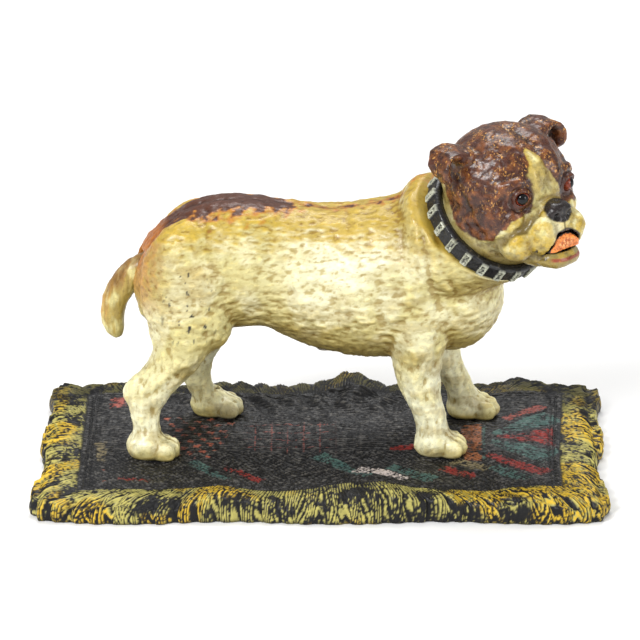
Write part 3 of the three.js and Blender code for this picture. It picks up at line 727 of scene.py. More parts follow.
def bodyPaint(verts, norms):
    x, y, z = verts[:, 0], verts[:, 1], verts[:, 2]
    patchy = grain(verts, 0.07, 4, 3.0)
    streaky = grain(verts, (0.07, 0.3, 0.3), 3, 9.0)
    ragged = grain(verts, 0.28, 4, 21.0)
    colour = coated("cream", len(verts))
    # the white on the upper flank is partly white paint and partly a painted highlight
    flank = bump(x, 6, 20) * bump(z, 90, 15)
    legs = ramp(z, 58, 40) * ramp(z, 12, 18)
    colour = blend(colour, "white", np.clip(ramp(patchy, -0.15, 0.4) * 0.5 + flank + legs * 0.35, 0, 0.95))
    colour = blend(colour, "ochre", ramp(streaky + 0.4 * patchy, 0.0, 0.55) * 0.42 * (1 - flank * 0.7))
    haunch = bump(x, -52, 16) * bump(z, 88, 20)
    colour = blend(colour, "ochre", haunch * ramp(ragged + patchy, -0.3, 0.5) * 0.5)
    # downward-facing surfaces turn olive: painted shade on the underside
    under = ramp(norms[:, 2] + 0.15 * patchy, -0.15, -0.8) * ramp(z, 38, 46)
    colour = blend(colour, "olive", under * 0.85)
    low = ramp(z, 64, 48) * bump(x, 4, 30) * ramp(z, 42, 46)
    colour = blend(colour, "olive", low * ramp(patchy, -0.4, 0.3) * 0.6)
    # ochre on downward-facing surfaces is painted shade as well
    colour = blend(colour, "ochre", ramp(norms[:, 2], 0.1, -0.5) * 0.35 * ramp(z, 36, 46))
    back = ramp(norms[:, 2] + ragged * 0.16 + streaky * 0.1, 0.18, 0.78) * ramp(z, 84, 98) * ramp(x, 64, 48)
    colour = blend(colour, "gold", back * 0.9)
    neck = ramp((verts - ringCentre) @ neckAxis, -22, -8)
    neck = neck * ramp(norms[:, 0] * 0.4 - norms[:, 2] + 0.3 * ragged, 0.2, -0.5)
    colour = blend(colour, "ochre", neck * 0.55)
    rear = ramp(x + ragged * 5, -54, -66) * ramp(z, 62, 80)
    colour = blend(colour, "ochre", rear * 0.8)
    colour = blend(colour, "rust", rear * ramp(norms[:, 0], -0.3, -0.9) * 0.5)
    halfPatch = 10.8 * np.clip(1 - ((x + 40) / 30) ** 2, 0, 1) ** 0.5
    onTop = ramp(z, 88, 94)
    edge = halfPatch - np.abs(y) + ragged * 5.0
    colour = blend(colour, "rust", ramp(edge, -4.0, 0.5) * onTop * 0.85)
    colour = blend(colour, "darkBrown", ramp(edge, -0.2, 1.4) * onTop * 0.96)
    tailTop = ramp(x, -57, -63) * ramp(z, 78, 86) * ramp(np.abs(y) + ragged * 3, 12, 7)
    colour = blend(colour, "rust", tailTop * 0.8)
    paws = ramp(z, 15.0, 11.5)
    colour = blend(colour, "ochre", paws * 0.35)
    colour = blend(colour, "black", ramp(z, body["sole"] + 1.2, body["sole"] + 0.2) * 0.9)
    onThigh = bump(x, -50, 9) * ramp(z, 90, 84) * ramp(z, 56, 62)
    chips = ramp(grain(verts, (0.55, 0.55, 0.3), 3, 70.0), 0.5, 0.62) * onThigh
    colour = blend(colour, "black", np.clip(chips * 1.6, 0, 1) * (y < 0))
    return colour


def bodyCavity():
    inner = [row for row in body["stations"] if -66 < row[0] < 58]
    cavity = [loftMesh(torsoRings(inner, 3.6, 32))]
    piece = newMesh("cavity", cavity)
    neck = [
        ringAcross(np.array([34.0, 0, 82]), (1, 0, 0.1), 20.5, sides=32),
        ringAcross(np.array([49.0, -2.8, 94]), (0.8, -0.28, 0.5), 21.4, sides=32),
        ringAcross(np.array([55.6, -5.0, 98]), (0.65, -0.38, 0.64), 20.6, sides=32),
        ringAcross(onNeck(-4.4), neckAxis, 19.95, sides=32),
        ringAcross(onNeck(2), neckAxis, 19.95, sides=32),
    ]
    return [piece, newMesh("neckBore", [loftMesh(neck)])]


def tailRoom():
    x, z = tailPivot[0], tailPivot[2]
    return [
        newMesh("hubRoom", [rodMesh((x, -5.5, z), (x, 5.5, z), 6.0, 40)]),
        newMesh("tailSlot", [boxMesh((-92, -5.5, 70), (x, 5.5, z + 6.0))]),
        newMesh("armRoom", [boxMesh((x - 2.4, -3.2, z), (-52, 3.2, z + 9.1))]),
        newMesh("springRoom", [boxMesh((x, -3.6, z - 9), (-48, 3.6, z + 3))]),
    ]


def trapSeat():
    (trapX, trapY), (pivotX, pivotY), seat = trap["centre"], trap["pivot"], trap["seat"]
    land = rodMesh((trapX, trapY, seat), (trapX, trapY, seat + 7.2), trap["radius"] + 3, 48)
    boss = rodMesh((pivotX, pivotY, seat), (pivotX, pivotY, seat + 8.7), 5, 32)
    return [newMesh("trapLand", [land]), newMesh("pivotBoss", [boss])]


def bodyCuts():
    (trapX, trapY), (pivotX, pivotY), seat = trap["centre"], trap["pivot"], trap["seat"]
    tailX, tailZ = tailPivot[0], tailPivot[2]
    cuts = [
        ("trapHole", rodMesh((trapX, trapY, 30), (trapX, trapY, 60), trap["radius"], 40)),
        ("bellyFlat", boxMesh((-3.5, -10.5, 20), (29.8, 18, seat))),
        ("trapThread", rodMesh((pivotX, pivotY, 30), (pivotX, pivotY, seat + 7.5), 1.9)),
        ("pinHole", rodMesh((tailX, -9.5, tailZ), (tailX, 9.5, tailZ), 1.6)),
    ]
    for x, z, headSeat in body["screws"]:
        cuts.append(("screwHole", rodMesh((x, 2 - headSeat, z), (x, 40, z), 2.2)))
        cuts.append(("screwSeat", rodMesh((x, headSeat, z), (x, 40, z), 4.1)))
    for x, y, _ in body["paws"].values():
        cuts.append(("pawThread", rodMesh((x, y, 0), (x, y, body["sole"] + 11), 1.8)))
    return [newMesh(name, [part]) for name, part in cuts]


def makeBody():
    whole = bodyClay()
    sculptBody(whole)
    source = points(whole.data)
    norms = normals(whole.data)
    relief = reliefOf(whole.data, 10, 0.42)
    paint = bodyPaint(source, norms)
    print("body modelled", len(source))
    for cutter in bodyCavity() + tailRoom():
        cutAway(whole, cutter)
    for land in trapSeat():
        cutAway(whole, land, "UNION")
    for cutter in bodyCuts():
        cutAway(whole, cutter)
    joint = 0.04
    halves = []
    for name, side in (("rightBodyHalf", -1), ("leftBodyHalf", 1)):
        half = whole.copy()
        half.data = whole.data.copy()
        half.name = name
        scene.collection.objects.link(half)
        low, high = ((-120, -80, 0), (120, -joint, 170)) if side < 0 else ((-120, joint, 0), (120, 80, 170))
        cutAway(half, newMesh("side", [boxMesh(low, high)]), "INTERSECT")
        carryPaint(half.data, source, paint, relief, 0.9, 1.6)
        halves.append(half)
    bpy.data.objects.remove(whole)
    coat = castPaint("coatPaint", (0.50, 0.38, 0.15), (0.06, 0.045, 0.02), (450, 700, 700),
                     wash=0.75, gloss=0.26, rub=0.55, streaks=0.35)
    for half, node in zip(halves, ("right_body_half", "left_body_half")):
        half.data.materials.clear()
        half.data.materials.append(coat)
        finishPiece(half)
        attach(half, "bank")
        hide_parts(node)
    return coat


coatMaterial = makeBody()
print("body halves ready")


def makeTail():
    route = [
        (-63.5, 82.5, 5.0), (-67, 81, 5.3), (-70.6, 79.0, 5.4), (-74, 75.6, 5.35), (-76.8, 71.6, 5.2),
        (-79, 67, 4.95), (-80, 62, 4.7), (-79.8, 58, 4.3), (-78.9, 54.8, 3.6), (-78.0, 52.8, 2.5),
        (-77.4, 51.8, 1.2),
    ]
    tube = tubeMesh([(x, 0, z, r) for x, z, r in route], 40, 0.96)
    x, z = tailPivot[0], tailPivot[2]
    parts = [
        tube,
        rodMesh((x, -4.8, z), (x, 4.8, z), 5.4, 40),
        boxMesh((x - 1.6, -2.5, z), (x + 1.6, 2.5, z + 8.3)),
        boxMesh((x, -2.8, z - 1.3), (-49, 2.8, z + 1.7)),
    ]
    tail = clay("tailLever", parts, 0.42)
    mesh = tail.data
    verts = points(mesh)
    verts = relaxed(verts, edgePairs(mesh), 4)
    setPoints(mesh, verts)
    norms = normals(mesh)
    outside = ramp(verts[:, 0], -66, -70)
    fur = grain(verts, (0.42, 0.42, 0.12), 3, 5.0)
    setPoints(mesh, verts + norms * (fur * 0.28 * outside)[:, None])
    verts, norms = points(mesh), normals(mesh)
    streaky = grain(verts, (0.3, 0.3, 0.1), 3, 9.0)
    colour = coated("cream", len(verts))
    colour = blend(colour, "ochre", ramp(streaky, -0.35, 0.2) * 0.85)
    crown = ramp(-norms[:, 0] * 0.7 + norms[:, 2] * 0.7 + streaky * 0.35, 0.15, 0.8)
    colour = blend(colour, "rust", crown * 0.35 * ramp(verts[:, 2], 52, 62))
    colour = blend(colour, "darkBrown", crown * 0.55 * ramp(verts[:, 2], 66, 78))
    colour = blend(colour, "olive", ramp(verts[:, 2], 58, 53) * 0.4)
    colour = blend(colour, "iron", ramp(verts[:, 0], -64.5, -62.5))
    setAttribute(mesh, "paint", colour)
    setAttribute(mesh, "relief", reliefOf(mesh))
    cutAway(tail, newMesh("tailBore", [rodMesh((x, -9, z), (x, 9, z), 1.6, 24)]))
    mesh = tail.data
    mesh.materials.clear()
    mesh.materials.append(coatMaterial)
    finishPiece(tail)
    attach(tail, "tail")
    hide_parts("tail_lever")


makeTail()
print("tail ready")


# the head is modelled in its own frame: u forward, v to the dog's left, w up, from the skull's middle
head = {
    "voxel": 0.46,
    "eye": (19.2, 12.3, 0.8), "eyeRadius": 2.85,
    "lumps": [  # place, radii, yaw, pitch; mirrored where v is not 0
        ((-1, 0, 0.9), (23.5, 24.6, 21.2), 0, 0),
        ((9.5, 0, 4.4), (13, 17, 13.4), 0, 0.2),
        ((5.5, 13, -9), (16.2, 10.6, 14), 0, 0),
        ((15.2, 12.2, 3.2), (5.8, 6.4, 5.6), 0.5, 0.1),  # brow over the eye
        ((19.8, 0, -10.8), (11.0, 11.8, 9.4), 0, 0.1),
        ((22.2, 6.8, -13.4), (9.8, 6.9, 8.4), 0.3, 0.06),  # flews
        ((16.0, 12.8, -17.0), (9.6, 6.4, 7.6), 0.36, 0.1),
        ((19.0, 0, -22.0), (13.0, 11.8, 6.6), 0, -0.08),  # jaw
        ((26.6, 0, -23.2), (7.4, 10.4, 4.3), 0, 0),
        ((25.4, 0, -4.4), (4.4, 5.6, 3.7), 0, 0),  # nose
        ((26.0, 3.2, -5.3), (4.2, 3.0, 3.0), 0, 0),
    ],
    "ear": [  # centre, half width along the head, half thickness, mirrored
        ((-5.0, 16.0, 10.6), 7.2, 5.0), ((-5.6, 20.5, 13.8), 6.8, 3.6), ((-6.2, 24.6, 15.4), 6.4, 2.6),
        ((-6.2, 28.2, 15.0), 6.2, 2.2), ((-5.2, 30.6, 12.8), 5.8, 2.0), ((-3.6, 31.4, 10.2), 5.0, 1.9),
        ((-2.0, 31.0, 7.8), 3.7, 1.7), ((-0.8, 30.2, 6.2), 2.0, 1.3),
    ],
    "strokes": [  # path, width, height; mirrored
        ([(26, 0, 1), (22, -0.01, 6), (17, -0.01, 12), (10, 0, 17), (0, 0, 21)], 2.8, -1.1),
        ([(24, 5.0, 2.0), (22, 8.5, 6.4), (19, 13.0, 7.6), (14.5, 17.6, 5.2), (11, 20, 0)], 1.7, 0.9),
        ([(20, 6, 8), (16, 8, 14), (10, 9, 18)], 2.2, 0.5),
        ([(17, 14, 10), (10, 19, 13), (2, 22, 13)], 1.8, -0.4),
        ([(12, 14, 15), (6, 18, 16), (-2, 20, 16)], 1.4, 0.4),
        ([(24.5, 6.6, -0.6), (24, 8.6, -5), (22, 14, -10.5), (17, 19.5, -15), (10, 21, -19)], 1.8, -1.15),
        ([(18, 18, -3), (15, 20.5, -9), (9, 22.5, -14)], 1.6, -0.6),
        ([(14, 20, 2), (9, 22.5, -4), (3, 23.5, -10)], 2.2, 0.45),
        ([(-4, 23, 7), (0, 24, 0), (5, 23, -8), (9, 21, -14)], 1.3, -0.55),
        ([(-2, 25, 1), (4, 24, -6)], 1.4, 0.35),
        ([(27, 9.6, -22.0), (22, 14.6, -23.2), (16, 17.6, -23.6), (10, 18.6, -22)], 1.0, -1.0),  # lip line
        ([(28, 10.6, -19.6), (23, 15.2, -20.6), (17, 17.6, -20.6)], 1.8, 0.6),
        ([(30, 0, -8.4), (31.4, 0, -11.5)], 0.65, -0.8),  # below the nose
        ([(29.8, 0, -1.4), (30.2, 0, -7.4)], 0.6, -0.6),
        ([(29, 3.3, -9.4), (24, 7.8, -7.2), (23, 7.4, -1.6), (24, 0, 1.0)], 0.8, -0.7),  # round the nose
        ([(26, 8, -12), (25.5, 10.5, -15)], 2.2, 0.4),
    ],
}
headAxes = np.array([[math.sqrt(0.5), -math.sqrt(0.5), 0], [math.sqrt(0.5), math.sqrt(0.5), 0], [0, 0, 1]])
skullCentre = np.array([70.7, -12.0, 119.7])
tonguePivot = np.array([26.3, 0.0, -18.2])


def toDog(place):
    return np.asarray(place, float) @ headAxes + skullCentre


def toHead(place):
    return (np.asarray(place, float) - skullCentre) @ headAxes.T


neckInHead = toHead(ringCentre)
axisInHead = neckAxis @ headAxes.T


def alongNeck(distance):
    return neckInHead + axisInHead * distance


def mirrored(v):
    return (1,) if abs(v) < 1e-6 else (-1, 1)


def headClay():
    parts = []
    for (u, v, w), radii, yaw, pitch in head["lumps"]:
        for side in mirrored(v):
            parts.append(ellipsoidMesh((u, v * side, w), radii, yaw * side, pitch))
    for side in (-1, 1):
        rings = []
        for i, (place, half, thick) in enumerate(head["ear"]):
            before, after = head["ear"][max(i - 1, 0)][0], head["ear"][min(i + 1, len(head["ear"]) - 1)][0]
            run = unit(np.subtract(after, before)) * (1, side, 1)
            lie = unit(np.array([1.0, 0.16 * side, -0.12]))
            lie = unit(lie - run * (lie @ run))
            across = np.cross(run, lie)
            angles = np.linspace(0, 2 * math.pi, 28, endpoint=False)
            centre = np.array(place) * (1, side, 1)
            curl = -0.9 * np.cos(angles) ** 2 * half * 0.16
            up = np.outer(np.sin(angles) * thick + curl * side, across)
            rings.append(centre + np.outer(np.cos(angles) * half, lie) + up)
        parts.append(loftMesh(rings))
    parts.append(rodMesh(neckInHead + axisInHead * 0.2, neckInHead + axisInHead * 13, 22.25, 48))
    piece = clay("headClay", parts, head["voxel"])
    verts, edges = points(piece.data), edgePairs(piece.data)
    ears = ramp(np.abs(verts[:, 1]), 23.4, 25.4) * ramp(verts[:, 2], 2.0, 4.0)
    nose = bump(distanceTo(verts, (27, 0, -4.6)), 0, 6.2)
    hold = np.clip(np.maximum(ears * 0.9, nose * 0.8), 0, 1)[:, None]
    smoothed = relaxed(verts, edges, 22)
    setPoints(piece.data, relaxed(verts * hold + smoothed * (1 - hold), edges, 2))
    return piece


def sculptHead(mesh):
    verts, norms = points(mesh), normals(mesh)
    for path, width, height in head["strokes"]:
        for side in mirrored(max(abs(point[1]) for point in path)):
            away = pathDistance(verts, np.array(path, float) * (1, side, 1))
            verts = verts + norms * (height * np.exp(-(away / width) ** 2))[:, None]
    for side in (-1, 1):
        eye = np.array(head["eye"]) * (1, side, 1)
        look = unit((0.80, 0.60 * side, 0.02))
        offset = verts - eye
        along = offset @ look
        radial = np.linalg.norm(offset - np.outer(along, look), axis=1)
        front = ramp(along, -2.0, 0.5)
        verts = verts - norms * (1.3 * np.exp(-(radial / 5.0) ** 2) * front)[:, None]
        verts = verts + norms * (1.35 * bump(radial, 3.1, 0.85) * front)[:, None]
        verts = verts - norms * (0.5 * bump(radial, 4.9, 0.6) * front)[:, None]
        nostril = np.linalg.norm((verts - (29.4, 3.5 * side, -6.2)) / (1.7, 1.2, 1.3), axis=1)
        verts = verts - norms * (2.4 * np.exp(-nostril ** 2))[:, None]
    across = grain(verts, (0.34, 0.2, 0.34), 3, 4.0)
    coarse = grain(verts, 0.13, 3, 17.0)
    nearCollar = ramp((verts - neckInHead) @ axisInHead, 4.2, 6.5)
    calm = 1 - 0.75 * bump(distanceTo(verts, (27, 0, -4.6)), 0, 7)
    verts = verts + norms * ((across * 0.24 + coarse * 0.42) * nearCollar * calm)[:, None]
    setPoints(mesh, verts)


def headPaint(verts):
    u, v, w = verts[:, 0], verts[:, 1], verts[:, 2]
    ragged = grain(verts, 0.30, 4, 31.0)
    patchy = grain(verts, 0.12, 3, 13.0)
    colour = coated("cream", len(verts))
    colour = blend(colour, "ochre", ramp(patchy + 0.25 * ragged, -0.3, 0.3) * 0.72)
    colour = blend(colour, "white", ramp(-patchy, 0.2, 0.5) * 0.4)
    front = ramp(u, 14, 21) * ramp(w, 2, -4)
    colour = blend(colour, "gold", front * ramp(ragged, -0.35, 0.25) * 0.72)
    colour = blend(colour, "white", bump(distanceTo(verts, (30, -4, -11)), 0, 4) * 0.5)
    crease = pathDistance(verts, [(24.5, -7.6, -2), (23, -12, -9), (18, -18, -15), (11, -20, -20)])
    colour = blend(colour, "olive", ramp(crease, 3.2, 0.6) * 0.75)
    colour = blend(colour, "olive", ramp(w + ragged * 3, -16, -23) * 0.85)
    colour = blend(colour, "olive", ramp((verts - neckInHead) @ axisInHead + ragged * 3, 13, 5) * 0.7)
    blazeHalf = np.interp(w, [-6, -2, 2, 6, 10, 13, 16, 18], [8.6, 7.4, 6.4, 5.6, 4.8, 3.8, 1.6, -2.0])
    blazeHalf = np.where(u > 0, blazeHalf, -4)
    edgeU = [-14, -10, -6, -2, 3, 8, 13, 17, 20, 23]
    bottom = np.interp(u, edgeU, [4, -3, -9, -13.5, -16.4, -17.2, -15.2, -11.0, -7.0, -3.0])
    middle = np.interp(w, [-4, 0, 4, 8, 12], [0.0, -0.8, -2.4, -3.8, -4.2])
    inside = np.minimum(np.abs(v - middle) - blazeHalf, w - bottom) + ragged * 1.2
    mask = ramp(inside, -0.25, 0.55)
    colour = blend(colour, "gold", ramp(inside, -3.2, -0.2) * ramp(w, 8, 16) * 0.8)
    brown = coated("chocolate", len(verts))
    brown = brown * (1 - ramp(patchy, 0.1, 0.5) * 0.45)[:, None]
    brown = brown + np.array(colours["rust"]) * 0.22 * ramp(ragged, -0.1, 0.5)[:, None]
    colour = mixed(colour, brown, mask)
    for side in (-1, 1):
        eye = np.array(head["eye"]) * (1, side, 1)
        colour = blend(colour, "darkBrown", ramp(distanceTo(verts, eye), 5.8, 4.2) * ramp(u, 14, 16))
    noseAway = np.linalg.norm((verts - (27.4, 0, -4.7)) / (6.0, 6.8, 4.9), axis=1) + ragged * 0.04
    colour = blend(colour, "noseBlack", ramp(noseAway, 1.04, 0.93))
    philtrum = pathDistance(verts, [(31, 0, -8), (31.6, 0, -12.6)])
    colour = blend(colour, "noseBlack", ramp(philtrum, 1.0, 0.5) * 0.9)
    lip = ramp(np.abs(w - mouthArch(v)) - 0.2, 1.5, 0.6) * ramp(np.abs(v), 10.2, 9.2)
    colour = blend(colour, "noseBlack", lip * ramp(u, 26, 28) * ramp(w, -23, -21))
    seam = pathDistance(verts, [(29, -9.4, -21.8), (22, -14.6, -23.2), (15, -17.8, -23.6)])
    seam = np.minimum(seam, pathDistance(verts, [(29, 9.4, -21.8), (22, 14.6, -23.2), (15, 17.8, -23.6)]))
    colour = blend(colour, "noseBlack", ramp(seam, 1.1, 0.5) * 0.85)
    lower = ramp(np.abs(w + 22.4), 0.9, 0.4) * ramp(u, 27, 28.5) * ramp(np.abs(v), 8.5, 7)
    colour = blend(colour, "lipRed", lower)
    return colour


# how strongly the bright undercoat shows through the brown
def headFlecks(verts):
    inside = ramp(verts[:, 2], -12, 6) * 0.75 + 0.25
    offNose = ramp(distanceTo(verts, (26.5, 0, -4.6)), 6.5, 9)
    return offNose * inside * ramp(grain(verts, 0.22, 3, 61.0), -0.35, 0.3)


def mouthArch(v):
    return -21.4 + 8.8 * np.clip(1 - (np.abs(v) / 9.2) ** 2.0, 0, 1) ** 0.6


colours.update({
    "chocolate": (0.060, 0.019, 0.011), "noseBlack": (0.012, 0.008, 0.008),
    "lipRed": (0.22, 0.05, 0.025), "tongue": (0.78, 0.24, 0.05), "tonguePale": (0.86, 0.50, 0.22),
})


def collarRoomParts():
    lower = [ringAcross(alongNeck(a), axisInHead, 40, sides=48) for a in (-14, 0.15)]
    groove = [ringAcross(alongNeck(a), axisInHead, r, sides=48)
              for a, r in ((0.1, 22.25), (0.1, 40), (4.1, 40), (4.1, 22.25))]
    verts = np.vstack(groove)
    faces = []
    for row in range(4):
        for k in range(48):
            a, b = row * 48 + k, row * 48 + (k + 1) % 48
            c, d = ((row + 1) % 4) * 48 + (k + 1) % 48, ((row + 1) % 4) * 48 + k
            faces.append((a, b, c, d))
    return loftMesh(lower), (verts, faces)


def mouthCutter():
    across = np.linspace(-9.0, 9.0, 29)
    top = mouthArch(across)
    outline = [(v, -20.2) for v in across] + [(v, max(w, -19.8)) for v, w in zip(across[::-1], top[::-1])]
    rings = [np.array([(u, v, w) for v, w in outline]) for u in (24, 40)]
    return loftMesh(rings)


tongueShape = {"half": 8.2, "top": 4.9, "foot": -1.5, "front": 2.2, "thick": 2.6, "swing": 31.5}


def tongueTop(across):
    low, high = tongueShape["foot"], tongueShape["top"]
    return low + (high - low) * np.clip(1 - across ** 2, 0, 1) ** 0.62


# room for the plate to tip back: its outline, a little larger, at steps of its swing
def swingRoom(turn, gap=0.35):
    across = np.linspace(-1, 1, 33)
    tops = np.maximum(tongueTop(across), tongueShape["foot"] + 0.9) + gap
    side = across * (tongueShape["half"] + gap)
    outline = [(v, tongueShape["foot"] - gap) for v in side] + list(zip(side[::-1], tops[::-1]))
    c, s = math.cos(turn), math.sin(turn)
    rings = []
    for u in (tongueShape["front"] - gap, tongueShape["front"] + tongueShape["thick"] + gap):
        rings.append([tonguePivot + (u * c - w * s, v, u * s + w * c) for v, w in outline])
    return loftMesh(rings)


def makeHead():
    whole = headClay()
    sculptHead(whole.data)
    source = points(whole.data)
    relief = reliefOf(whole.data, 8, 0.2)
    paint = headPaint(source)
    flecks = headFlecks(source) * ramp(paint.sum(1), 0.75, 0.35)
    print("head modelled", len(source))
    below, groove = collarRoomParts()
    cutAway(whole, newMesh("below", [below]))
    cutAway(whole, newMesh("groove", [groove]))
    cutAway(whole, newMesh("spigot", [rodMesh(alongNeck(-5.6), alongNeck(8), 19.5, 48)]), "UNION")
    cutAway(whole, newMesh("bore", [rodMesh(alongNeck(-9), alongNeck(14), 16.3, 40)]))
    hollow = newMesh("skullRoom", [ellipsoidMesh((-1.5, 0, -0.2), (19.4, 20.6, 16.8))])
    cutAway(hollow, newMesh("snoutRoom", [ellipsoidMesh((16, 0, -14.5), (12, 9, 7.6))]), "UNION")
    cutAway(hollow, newMesh("aboveCollar", [rodMesh(alongNeck(7), alongNeck(70), 60, 40)]), "INTERSECT")
    cutAway(whole, hollow)
    cutAway(whole, newMesh("mouthRoom", [boxMesh((12, -8.6, -22.4), (25.0, 8.6, -10.5))]))
    cutAway(whole, newMesh("armRoom", [boxMesh((23.5, -2.8, -25.2), (31.0, 2.8, -20.0))]))
    cutAway(whole, newMesh("hubRoom", [rodMesh(tonguePivot - (0, 8.8, 0), tonguePivot + (0, 8.8, 0), 3.0)]))
    cutAway(whole, newMesh("mouthFront", [mouthCutter()]))
    for turn in np.linspace(0, math.radians(tongueShape["swing"]), 6):
        cutAway(whole, newMesh("swingRoom", [swingRoom(turn)]))
    for side in (-1, 1):
        eye = np.array(head["eye"]) * (1, side, 1)
        cutAway(whole, newMesh("socket", [ellipsoidMesh(eye, (3.0, 3.0, 3.0))]))
    cutAway(whole, newMesh("pinBore", [rodMesh(tonguePivot - (0, 12.4, 0), tonguePivot + (0, 12.4, 0), 1.3)]))
    cutAway(whole, newMesh("rodBore", [rodMesh((9.0, -8.0, -23.0), (30, 1, -23.4), 2.6)]))
    index, inside = carryPaint(whole.data, source, paint, relief, 0.7, 1.3)
    setAttribute(whole.data, "flecks", flecks[index] * (1 - inside))
    coat = castPaint("headPaint", (0.30, 0.22, 0.09), (0.03, 0.02, 0.015), (420, 420, 420))
    whole.data.materials.clear()
    whole.data.materials.append(coat)
    setPoints(whole.data, toDog(points(whole.data)))
    whole.name = "headShell"
    finishPiece(whole)
    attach(whole, "bank")
    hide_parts("head_shell")


# glass eye: dark ball, its front a black pupil in a red-brown iris
def makeEyes():
    eyeGlass, n, shader = startMaterial("eyeGlass")
    iris = n.attribute("iris")
    marks = n.noise(n.place(), 2600.0, 3.0, 0.6)
    ring = n.mix(n.step(marks, 0.4, 0.6), (0.30, 0.05, 0.02), (0.10, 0.02, 0.01))
    colour = n.mix(n.step(iris, 0.62, 0.70), ring, (0.003, 0.003, 0.004))
    n.link(colour, shader.inputs["Base Color"])
    shader.inputs["Roughness"].default_value = 0.05
    shader.inputs["Specular IOR Level"].default_value = 0.35
    for side, name in ((-1, "rightEye"), (1, "leftEye")):
        place = np.array(head["eye"]) * (1, side, 1)
        ball = newMesh(name, [ellipsoidMesh((0, 0, 0), (1, 1, 1), sides=56)])
        verts = points(ball.data)
        look = unit((0.80, 0.60 * side, 0.10))
        facing = verts @ look
        bulge = 1 + 0.045 * ramp(facing, 0.62, 0.9)
        setAttribute(ball.data, "iris", facing)
        ball.data.materials.append(eyeGlass)
        setPoints(ball.data, toDog(verts * bulge[:, None] * head["eyeRadius"] + place))
        finishPiece(ball)
        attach(ball, "bank")
        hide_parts("right_eye" if side < 0 else "left_eye")


def makeTongue():
    rows, columns = 40, 56
    across = np.linspace(-1, 1, columns)
    rise = np.linspace(0, 1, rows)
    grid = []
    for layer in (0, 1):
        for t in rise:
            for s in across:
                v = tongueShape["half"] * s
                top = max(float(tongueTop(s)), tongueShape["foot"] + 0.9)
                w = tongueShape["foot"] + (top - tongueShape["foot"]) * t
                u = tongueShape["front"] if layer == 0 else tongueShape["front"] + tongueShape["thick"]
                if layer == 1:
                    rim = min(1 - abs(s), (1 - t) * 0.9, t * 1.6 + 0.1)
                    u += -0.9 + 0.95 * float(ramp(rim, 0.0, 0.22)) - 0.35 * float(bump(s, 0, 0.08)) * t
                grid.append((u, v, w))
    verts = np.array(grid)
    count = rows * columns
    faces = []
    for i in range(rows - 1):
        for j in range(columns - 1):
            a = i * columns + j
            faces.append((a, a + columns, a + columns + 1, a + 1))
            faces.append((a + count, a + 1 + count, a + columns + 1 + count, a + columns + count))
    loop = list(range(columns)) + [i * columns + columns - 1 for i in range(1, rows)]
    loop += [(rows - 1) * columns + j for j in range(columns - 2, -1, -1)]
    loop += [i * columns for i in range(rows - 2, 0, -1)]
    for a, b in zip(loop, loop[1:] + loop[:1]):
        faces.append((a, b, b + count, a + count))
    tongue = newMesh("tonguePlate", [(verts, faces)])
    hinge = newMesh("hinge", [rodMesh((0, -8.2, 0), (0, 8.2, 0), 2.35, 32)])
    cutAway(tongue, hinge, "UNION")
    cutAway(tongue, newMesh("arm", [boxMesh((-1.2, -2.2, -6.4), (1.2, 2.2, -1.0))]), "UNION")
    cutAway(tongue, newMesh("bore", [rodMesh((0, -9, 0), (0, 9, 0), 1.3)]))
    dense = tongue.modifiers.new("fine", "REMESH")
    dense.mode = "VOXEL"
    dense.voxel_size = 0.24
    applied(tongue)
    verts, norms, edges = points(tongue.data), normals(tongue.data), edgePairs(tongue.data)
    verts = relaxed(verts, edges, 3)
    face = ramp(verts[:, 0], 3.2, 3.9) * ramp(norms[:, 0], 0.3, 0.7)
    bumps = grain(verts, 0.7, 3, 5.0)
    verts = verts + norms * (bumps * 0.22 * face)[:, None]
    setPoints(tongue.data, verts)
    u, v, w = verts.T
    rim = np.minimum(tongueTop(v / tongueShape["half"]) - w, (w - tongueShape["foot"]) * 1.3)
    rim = np.minimum(rim, (tongueShape["half"] - np.abs(v)) * 0.6) + grain(verts, 0.8, 3, 15.0) * 0.35
    colour = coated("noseBlack", len(verts))
    colour = blend(colour, "tongue", ramp(rim, 0.25, 0.55) * face)
    colour = blend(colour, "tonguePale", ramp(rim, 1.6, 2.6) * face * ramp(bumps, 0.0, 0.4) * 0.9)
    colour = blend(colour, "gold", ramp(bumps, 0.38, 0.55) * face * ramp(rim, 1.2, 1.8) * 0.6)
    colour = blend(colour, "iron", ramp(u, 2.4, 1.6))
    setAttribute(tongue.data, "paint", colour)
    setAttribute(tongue.data, "relief", reliefOf(tongue.data, 6, 0.1))
    tongue.data.materials.clear()
    coat = castPaint("tonguePaint", (0.35, 0.14, 0.05), (0.10, 0.02, 0.01), (500, 500, 500))
    tongue.data.materials.append(coat)
    setPoints(tongue.data, toDog(points(tongue.data) + tonguePivot))
    finishPiece(tongue)
    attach(tongue, "tongue_plate")
    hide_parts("tongue")


makeHead()
makeEyes()
makeTongue()
print("head, eyes and tongue ready")


collar = {
    "inner": 22.6, "outer": 25.5, "width": 7.4,
    "bars": 21, "barRise": 0.85, "barHalf": 1.35, "firstBar": 0.10,
    "black": (0.010, 0.010, 0.011), "silver": (0.42, 0.43, 0.34), "rubbed": (0.16, 0.13, 0.08),
}


